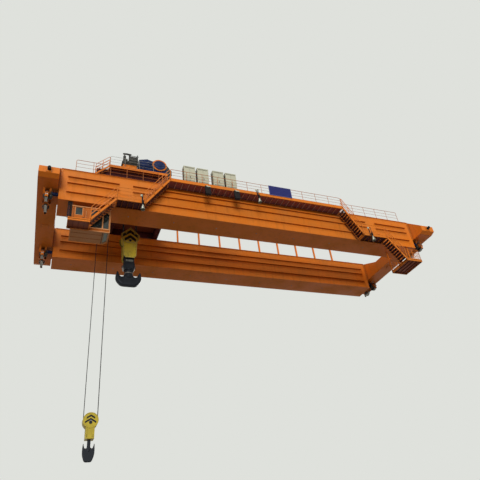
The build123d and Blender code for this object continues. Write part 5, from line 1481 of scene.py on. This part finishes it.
def makeDrumSupports():
    # flange rims, spokes and bolts of both drums, the caliper on the main drum's disc, and the bearing caps
    shape = bmesh.new()
    for drum in (mainDrum, auxDrum):
        x, z, half, radius, flange, shaft = pick(drum, "x z half radius flange shaft")
        rim = [(radius, 0), (flange + 0.012, 0), (flange + 0.012, 0.08), (flange - 0.03, 0.08),
               (flange - 0.03, 0.05), (radius, 0.05)]
        spoke = [(shaft, -0.012), (radius * 0.62, -0.012), (radius * 0.62, 0.012), (shaft, 0.012)]
        for side, thick in ((-1, 0.04), (1, 0.08)):
            addBoltCircle(shape, (x, side * half, z), (0, side, 0), radius * 0.72, drum["bolts"], 0.026)
            addLathe(shape, (x, side * (half - 0.07), z), (0, side, 0), rim, 48)
            addFins(shape, "xz", x, z, spoke, 8, side * half, side * (half + thick))
        near, far = drum["seat"][0] + 0.01, drum["seat"][1] - 0.01
        addDisc(shape, (x, near, z), toBack, shaft * 1.75, far - near, 32, 1, shaft)
        foot = z - shaft * 0.3
        for u in (-shaft, shaft):
            addBox(shape, x + u * 1.6, x + u * 2.3, near, far, z - shaft * 1.1, foot, 1)
            addBolt(shape, (x + u * 2.0, (near + far) / 2, foot), toTop, 0.035)
    x, z = pick(mainDrum, "x z")
    for u0, u1, near, far, low, high in caliper["boxes"]:
        addBox(shape, x + u0, x + u1, near, far, z + low, z + high)
    u0, u1, near, far = caliper["bed"]
    addBox(shape, x + u0, x + u1, near, far, deck, deck + 0.05, 1)
    post = [(x + u, deck) for u in caliper["postFoot"]] + [(x + u, z - 0.28) for u in caliper["postHead"]]
    addPrism(shape, post, "xz", *caliper["post"], 1)
    u, y = caliper["springPlace"]
    addLathe(shape, (x + u, y, z), toBack, caliper["spring"], 24)
    makePiece("drumSupports", shape, "trolley", [greyCasting, orangeEnamel], edge=0.004)


auxGear = {
    "x0": 5.30, "x1": 6.50, "split": 4.12, "foot": (3.922, 3.96),
    "caps": ((5.49, 4.12, 0.16, 8), (5.98, 4.14, 0.13, 6)),
    "hatch": ((5.41, 4.475), (5.68, 4.475), (5.65, 4.53), (5.44, 4.53)), "webs": [5.72, 6.24],
}
auxBrake = {
    "x": 6.19, "z": 4.632, "y": -4.43, "shoe": (0.27, 0.33, 38), "shaftHeight": 5.10, "pinHeight": 4.42,
    "drum": ((0.05, 0), (0.25, 0), (0.265, 0.02), (0.265, 0.03), (0.252, 0.04), (0.252, 0.21), (0.265, 0.22),
             (0.265, 0.25), (0.05, 0.25)),
    "lever": ((0.30, 4.36), (0.40, 4.36), (0.37, 4.632), (0.36, 5.16), (0.29, 5.16), (0.28, 4.632)),
    "arm": ((-0.20, 5.14), (-0.16, 5.24), (-0.55, 5.28), (-0.86, 5.22), (-0.86, 5.15), (-0.55, 5.16)),
    "thruster": ((0, 0), (0.10, 0), (0.115, 0.02), (0.115, 0.4), (0.08, 0.45), (0.03, 0.47), (0.03, 0.66),
                 (0, 0.66)),
    "thrusterPlace": (5.47, -4.43, 4.525),
}


def makeAuxHoistFittings():
    # casing flanges and caps, and the thruster brake on top with its shoes, levers and cylinder
    shape = bmesh.new()
    x0, x1 = pick(auxGear, "x0 x1")
    addGearFlange(shape, x0, x1, auxGear["split"], 6)
    addFrame(shape, "xy", x0, x1, gearFront, gearBack, *auxGear["foot"], 0.04)
    for cap in auxGear["caps"]:
        addBearingCap(shape, *cap)
    addBars(shape, auxGear["webs"], (gearFront - 0.03, gearFront), (3.95, 4.10), (0.01, 0, 0))
    addPrism(shape, auxGear["hatch"], "xz", gearFront + 0.12, gearBack - 0.12)
    x, z, y = pick(auxBrake, "x z y")
    addLathe(shape, (x, y - 0.125, z), toBack, auxBrake["drum"], 36)
    near, far, lean = auxBrake["shoe"]
    for side in (-1, 1):
        shoe = [*arc(0, 0, near, -lean, lean, 8), *arc(0, 0, far, lean, -lean, 8)]
        addPrism(shape, moved(shoe, x, z, side), "xz", y - 0.09, y + 0.09)
        for face in (y - 0.12, y + 0.1):
            addPrism(shape, moved(auxBrake["lever"], x, 0, side), "xz", face, face + 0.02)
        for u, height, radius in ((0.33, auxBrake["pinHeight"], 0.03), (0.325, auxBrake["shaftHeight"], 0.035)):
            addTube(shape, [(x + side * u, end, height) for end in (y - 0.13, y + 0.13)], radius, 10)
    addTube(shape, [(x - 0.4, y, auxBrake["shaftHeight"]), (x + 0.46, y, auxBrake["shaftHeight"])], 0.022, 8)
    addPrism(shape, moved(auxBrake["arm"], x, 0), "xz", y - 0.05, y + 0.05)
    addLathe(shape, auxBrake["thrusterPlace"], toTop, auxBrake["thruster"], 24)
    addBars(shape, x, y, (4.342, 4.38), (0.36, 0.13, 0))
    makePiece("auxHoistFittings", shape, "trolley", [greyCasting, turnedSteel], edge=0.003)


makeTrolleyRailings()
makeTrolleyLadder()
makeDeckTrim()
makeMainReducerFittings()
makeDiscGuard()
makeMainMotorFittings()
makeDrumSupports()
makeAuxHoistFittings()
print("trolley and its machinery dressed")


# Hook blocks, hooks and ropes; heights of plates and bolts on a block are measured from its sheaves' axle

mainBlock = {
    "x": 6.76, "axle": -0.36, "face": 0.5, "sheave": 0.54, "rows": (-0.36, -0.12, 0.12, 0.36), "rope": 0.018,
    "front": ((0.0, 0.84), (0.68, 0.17), (0.68, -0.06), (0.64, -0.27), (0.50, -0.45), (0.25, -0.60)),
    "cheek": ((0.52, -0.33), (0.545, -0.56), (0.49, -1.85), (0.37, -2.05)), "cheekPlate": 0.06,
    "endPlate": ((0.50, -0.75), (0.46, -1.86), (0.445, -1.86), (0.485, -0.75)),
    "stripes": ((0.625, 0.66, 0.37), (0.46, 0.15, -0.15)), "stripeSlope": 0.76, "rim": 0.05,
    "cover": ((0, 0), (0.105, 0), (0.105, 0.035), (0.08, 0.05), (0, 0.05)), "coverHeight": -0.41,
    "boss": ((0, 0), (0.19, 0), (0.19, 0.02), (0.16, 0.028), (0.15, 0.012), (0, 0.012)), "bossHeight": -1.68,
    "bolts": (((-0.34, -0.12, 0.12, 0.34), -1.94, 0.026), ((-0.44, 0.44), (-0.72, -1.0, -1.28, -1.56), 0.024)),
    "ties": ((0.62, 0.05), (0.6, -0.26), (0.36, -0.5)),
    "eye": ((0.04, -0.015), (0.075, -0.015), (0.075, 0.015), (0.04, 0.015)),
    "yoke": ((0.38, -1.59), (0.40, -2.20), (0.48, -2.74), (0.35, -3.11)), "yokeHalf": 0.28, "yokeFoot": -3.47,
    "strap": ((0.31, -2.02), (0.33, -2.2), (0.4, -2.72), (0.27, -2.98)),
    "lockPlates": (((0.47, -2.78), (0.53, -2.80), (0.43, -3.10), (0.36, -3.08), 0.16, 1),
                   ((0.50, -2.66), (0.56, -2.68), (0.55, -2.84), (0.47, -2.80), 0.08, 0)),
    "seal": ((0.1, 0), (0.37, 0), (0.38, 0.02), (0.38, 0.06), (0.36, 0.08), (0.1, 0.08)),
    "collar": ((0.15, 0), (0.345, 0), (0.36, 0.015), (0.36, 0.06), (0.34, 0.075), (0.15, 0.075)),
    "hookTop": -3.66, "hookDepth": 1.22, "hookHalf": 1.005, "shank": 0.34, "shankTop": 0.19, "throat": 0.205,
    "hookThickness": 0.46, "voxel": 0.026,
}
auxBlock = {
    "x": 4.56, "axle": -15.25, "face": 0.33, "sheave": 0.45, "rows": (-0.13, 0.13), "rope": 0.015,
    "radius": 0.5, "rim": 0.035, "neckHalf": 0.28, "neckFoot": -1.15, "coverHeight": -0.14,
    "stripes": ((0.27, 0.36, 0.24), (0.36, 0.14, 0.02)), "stripeSlope": 0.6,
    "hookTop": -16.66, "hookDepth": 1.09, "hookHalf": 0.38, "shank": 0.11, "shankTop": 0.26, "throat": 0.085,
    "hookThickness": 0.18, "voxel": 0.011,
}
horn = {        # outer edge as shares of half width and depth, and the turns of the throat in degrees
    "outer": ((0.0, -1.0), (0.3, -1.0), (0.52, -0.985), (0.66, -0.935), (0.80, -0.82), (0.93, -0.68), (1.0, -0.54),
              (1.02, -0.38), (1.0, -0.2), (0.95, -0.04), (0.9, 0.02), (0.86, -0.01), (0.81, -0.09)),
    "throatTurns": (10, -180), "throatHeight": -0.17, "heart": 0.35,
    "slices": ((0.0, 0.62), (0.05, 0.86), (0.1, 1.0)),      # drawn in, as a share of half width, and thickness
}


def hornOutline(look, inset):
    # half of a ramshorn hook seen from the front, from its bottom round the horn to the shank
    half, depth, shank, throat = pick(look, "hookHalf hookDepth shank throat")
    points = []
    for u, v in horn["outer"]:
        x, z = u * half, v * depth
        pull = inset * min(1.0, max(0.0, -v * 2.2 - 0.2))
        away = math.hypot(x, z + horn["heart"] * depth)
        points.append((x * (1 - pull / away) if away else x, z + (pull if v < -0.5 else 0)))
    return points + arc(shank + throat, horn["throatHeight"] * depth, throat + inset * 0.8,
                        *horn["throatTurns"], 12)


def makeHook(look, name, node):
    # the two horns and the shank grow out of one forging, thickest at the seat of the sling
    shape = bmesh.new()
    half, depth, shank, top = pick(look, "hookHalf hookDepth shank shankTop")
    for inset, thickness in horn["slices"]:
        right = [*hornOutline(look, inset * half), (shank * 0.8, depth * 0.1)]
        left = [(-x, z) for x, z in right[:0:-1]]
        reach = look["hookThickness"] / 2 * thickness
        addPrism(shape, moved(right + left, look["x"], look["hookTop"]), "xz", -reach, reach)
    neck = [(0, -0.42 * depth), (shank * 1.02, -0.42 * depth), (shank, 0.0), (shank, top), (0, top)]
    addLathe(shape, (look["x"], 0, look["hookTop"]), toTop, neck, 40)
    makePiece(name, roundOff(shape, look["voxel"], 5), node, [blackForging], [node], 60)


def addChevrons(shape, look, y0, y1):
    # black stripes, bent down to both sides of the middle
    for half, crown, soffit in look["stripes"]:
        drop = half * look["stripeSlope"]
        stripe = [(0, crown), (half, crown - drop), (half, soffit - drop), (0, soffit), (-half, soffit - drop),
                  (-half, crown - drop)]
        addPrism(shape, moved(stripe, look["x"], look["axle"]), "xz", y0, y1, 1)


def makeMainBlockFittings():
    # raised rims, stripes and cover on the housing's faces, bolts and ties on and between the cheek plates
    shape = bmesh.new()
    x, z, face = pick(mainBlock, "x axle face")
    inner = face - mainBlock["cheekPlate"]
    front, cheek = (moved(mirrored(mainBlock[key]), x, z)[::-1] for key in ("front", "cheek"))
    for side in (-1, 1):
        skin, axis = side * (face - 0.002), (0, side, 0)
        addRim(shape, front, mainBlock["rim"], "xz", skin, side * (face + 0.04), 3)
        addPrism(shape, drawnIn(front, 0.09), "xz", skin, side * (face + 0.012))
        addRim(shape, cheek, 0.03, "xz", skin, side * (face + 0.012), 3)
        addChevrons(shape, mainBlock, side * (face + 0.008), side * (face + 0.018))
        for key, proud, sides, material, *circle in (("cover", 0.035, 24, 2, 0.085, 6, 0.014, 2),
                                                     ("boss", 0.01, 32, 0, 0.12, 8, 0.016, 2)):
            height = z + mainBlock[key + "Height"]
            addLathe(shape, (x, side * face, height), axis, mainBlock[key], sides, material)
            addBoltCircle(shape, (x, side * (face + proud), height), axis, *circle)
        for us, vs, size in mainBlock["bolts"]:
            for u, v in product(us, vs if isinstance(vs, tuple) else (vs,)):
                addBolt(shape, (x + u, side * face, z + v), axis, size, 2)
        addPrism(shape, moved(mainBlock["endPlate"], x, z, side), "xz", -inner, inner)
        for u, v in mainBlock["ties"]:
            addTube(shape, [(x + side * u, y, z + v) for y in (0.02 - face, face - 0.02)], 0.03, 8, 2)
        for u in (-0.36, 0.36):             # eyes for lifting the block in the workshop
            addLathe(shape, (x + u, side * (face + 0.03), z + 0.33), toBack, mainBlock["eye"], 18, 0, True)
    makePiece("mainBlockFittings", shape, "main_block", [yellowEnamel, blackStripe, blackForging, rubbedYellow],
              edge=0.004)


def makeCrosshead():
    # the forged crosshead with its straps, lock plates, scuffed band and seal ring
    x, z, foot, half = pick(mainBlock, "x axle yokeFoot yokeHalf")
    shape = bmesh.new()
    yoke = [(u, max(v, foot + 0.06)) for u, v in moved(mirrored(mainBlock["yoke"]), x, z)]
    addPrism(shape, yoke, "xz", 0.02 - half, half - 0.02)
    addBox(shape, x - 0.25, x + 0.25, -0.43, 0.43, z - 1.95, z - 1.65)
    shape = roundOff(shape, 0.03, 3)
    for side in (-1, 1):
        skin, axis = side * (half - 0.03), (0, side, 0)
        addPrism(shape, moved(mirrored(mainBlock["strap"]), x, z), "xz", skin, side * (half + 0.02))
        addBars(shape, x, (skin, side * (half + 0.045)), (z - 2.36, z - 2.17), (0.3, 0, 0), 2)
        addBolts(shape, (x - 0.26, x + 0.26), side * (half + 0.045), (z - 2.22, z - 2.31), axis, 0.022, 1)
        addBolts(shape, (x - 0.26, x + 0.26), side * (half + 0.02), z - 2.56, axis, 0.03)
        for *lock, reach, material in mainBlock["lockPlates"]:
            addPrism(shape, moved(lock, x, z, side), "xz", -reach, reach, material)
    addLathe(shape, (x, 0, foot + 0.004), toTop, mainBlock["seal"], 40)
    makePiece("hookCrossheadForging", shape, "main_block", [blackForging, turnedSteel, wornBand],
              ["hook_crosshead"], 40)
    shape = bmesh.new()                      # retaining collar round the hook's neck
    addLathe(shape, (x, 0, foot - 0.33), toTop, mainBlock["collar"], 40)
    makePiece("hookNeckCollar", shape, "main_hook", [turnedSteel])


def makeAuxBlockFittings():
    # raised rims, stripes and covers on the round cheeks, and the foot plate of the neck
    shape = bmesh.new()
    x, z, face, neck, radius, rim = pick(auxBlock, "x axle face neckHalf radius rim")
    foot, cover = z + auxBlock["neckFoot"], z + auxBlock["coverHeight"]
    outer, inner = (arc(x, z, r, 0, 360, 40) for r in (radius, radius - rim))
    for side in (-1, 1):
        y0, y1, axis = side * (face - 0.001), side * (face + 0.015), (0, side, 0)
        addBand(shape, outer, inner, "xz", y0, y1, closed=False)
        addChevrons(shape, auxBlock, y0, side * (face + 0.007))
        addDisc(shape, (x, side * face, cover), axis, 0.1, 0.03, 24, 2)
        addBoltCircle(shape, (x, side * (face + 0.03), cover), axis, 0.07, 6, 0.014, 2)
        addBox(shape, x - neck, x + neck, y0, y1, foot, foot + 0.05)
        addBolts(shape, (x - 0.2, x + 0.2), side * face, (foot + 0.12, foot + 0.22), axis, 0.024, 2)
    addDisc(shape, (x, 0, foot + 0.012), toGround, 0.2, 0.008, 32, 2)
    makePiece("auxBlockFittings", shape, "aux_block", [yellowEnamel, blackStripe, blackForging],
              edge=0.003)


rope = {"strands": 6, "depth": 0.16, "lay": 0.46, "step": 0.045}


def addRope(shape, foot, top, radius):
    # six strands laid round each other; the lay is drawn coarser than the real one so that it shows
    foot, top = Vector(foot), Vector(top)
    sides = rope["strands"] * 2
    count = max(2, round((top - foot).length / rope["step"]))
    rings = []
    for n in range(count + 1):
        middle = foot.lerp(top, n / count)
        twist = math.tau * (middle.z - foot.z) / rope["lay"]
        ring = []
        for k in range(sides):
            turn, reach = twist + math.tau * k / sides, radius * (1 - rope["depth"] * (k % 2))
            ring.append(shape.verts.new(middle + Vector((math.cos(turn), math.sin(turn), 0)) * reach))
        rings.append(ring)
    closeTube(shape, rings)


def makeRopes():
    for name, node, body, look in (("mainHoistRopes", "main_ropes", "main_block", mainBlock),
                                   ("auxHoistRopes", "aux_ropes", "aux_block", auxBlock)):
        shape = bmesh.new()
        middle, low = pick(look, "x axle")
        for x, y in product((middle - look["sheave"], middle + look["sheave"]), look["rows"]):
            addRope(shape, (x, y, low), (x, y, upperSheaveHeight), look["rope"])
        piece = makePiece(name, shape, None, [ropeSteel], [node], 180)
        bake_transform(piece)


makeHook(mainBlock, "mainRamshornHook", "main_hook")
makeHook(auxBlock, "auxRamshornHook", "aux_hook")
makeMainBlockFittings()
makeCrosshead()
makeAuxBlockFittings()
makeRopes()
makeDrumRopes()
print("hooks, blocks and ropes made")


# Camera, at the photograph's place and angle

cameraPlace = {"location": (1.437, -33.908, -24.017), "lens": 35.79, "sensor": 36.0, "farthest": 1000}
cameraAxes = [                     # right, up and back, as rows
    (0.93068, -0.35051, -0.10477),
    (-0.11661, -0.55567, 0.82318),
    (-0.34675, -0.75390, -0.55803),
]
cameraData = bpy.data.cameras.new("camera")
cameraData.lens = cameraPlace["lens"]
cameraData.sensor_width = cameraPlace["sensor"]
cameraData.clip_end = cameraPlace["farthest"]
camera = bpy.data.objects.new("camera", cameraData)
bpy.context.scene.collection.objects.link(camera)
camera.matrix_world = Matrix.Translation(cameraPlace["location"]) @ Matrix(cameraAxes).transposed().to_4x4()
bpy.context.scene.camera = camera
bpy.context.scene.view_settings.view_transform = "Standard"


# Studio: pale floor, pale surroundings and soft lamps

studio = {
    "floorHeight": -25.6, "floorRadius": 160.0, "floorMiddle": 17.0, "floorSides": 64, "pale": "#dfe1dc",
    "ambient": "#d4d3d0", "ambientStrength": 0.31, "paleFloor": "#e6e6e1", "dimFloor": "#7d7469",
}
lamps = {      # direction of the light, strength and softness in degrees
    "frontLamp": ((0.30, 0.95, -0.10), 1.8, 28),
    "topLamp": ((0.25, 0.35, -0.90), 1.5, 30),
    "backLamp": ((-0.45, -0.80, -0.35), 1.2, 25),
}


def mixForViewer(tree, dim, pale):
    # pale for what camera, glossy and transmission rays see, dim for the light that falls on the crane
    path = addNode(tree, "ShaderNodeLightPath")
    seen = path.outputs["Is Camera Ray"]
    for ray in ("Is Glossy Ray", "Is Transmission Ray"):
        seen = addNode(tree, "ShaderNodeMath", {"operation": "MAXIMUM"}, {0: seen, 1: path.outputs[ray]}).outputs[0]
    mix = addNode(tree, "ShaderNodeMixShader", None, {0: seen, 1: dim.outputs[0], 2: pale.outputs[0]})
    return mix.outputs[0]


def makeWorld():
    world = bpy.data.worlds.new("studioWorld")
    world.use_nodes = True
    tree = world.node_tree
    tree.nodes.clear()
    dim, pale = (addNode(tree, "ShaderNodeBackground", {"Color": hexToLinear(studio[key]), "Strength": strength})
                 for key, strength in (("ambient", studio["ambientStrength"]), ("pale", 1.0)))
    output = addNode(tree, "ShaderNodeOutputWorld")
    tree.links.new(mixForViewer(tree, dim, pale), output.inputs["Surface"])
    bpy.context.scene.world = world


def makeFloor():
    material, tree, output = blankMaterial("paleStudioFloor")
    dim, pale = (addNode(tree, "ShaderNodeBsdfDiffuse", {"Color": hexToLinear(studio[key])})
                 for key in ("dimFloor", "paleFloor"))
    tree.links.new(mixForViewer(tree, dim, pale), output.inputs["Surface"])
    rim = arc(studio["floorMiddle"], 0, studio["floorRadius"], 0, 360, studio["floorSides"])[:-1]
    mesh = bpy.data.meshes.new("studioFloor")
    mesh.from_pydata([(x, y, studio["floorHeight"]) for x, y in rim], [], [list(range(len(rim)))])
    mesh.materials.append(material)
    floor = bpy.data.objects.new("studioFloor", mesh)
    bpy.context.scene.collection.objects.link(floor)


def makeLamps():
    for name, (direction, strength, softness) in lamps.items():
        data = bpy.data.lights.new(name, "SUN")
        data.energy = strength
        data.angle = math.radians(softness)
        lamp = bpy.data.objects.new(name, data)
        lamp.rotation_mode = "QUATERNION"
        lamp.rotation_quaternion = Vector(direction).to_track_quat("-Z", "Y")
        bpy.context.scene.collection.objects.link(lamp)


makeWorld()
makeFloor()
makeLamps()
print("studio ready")
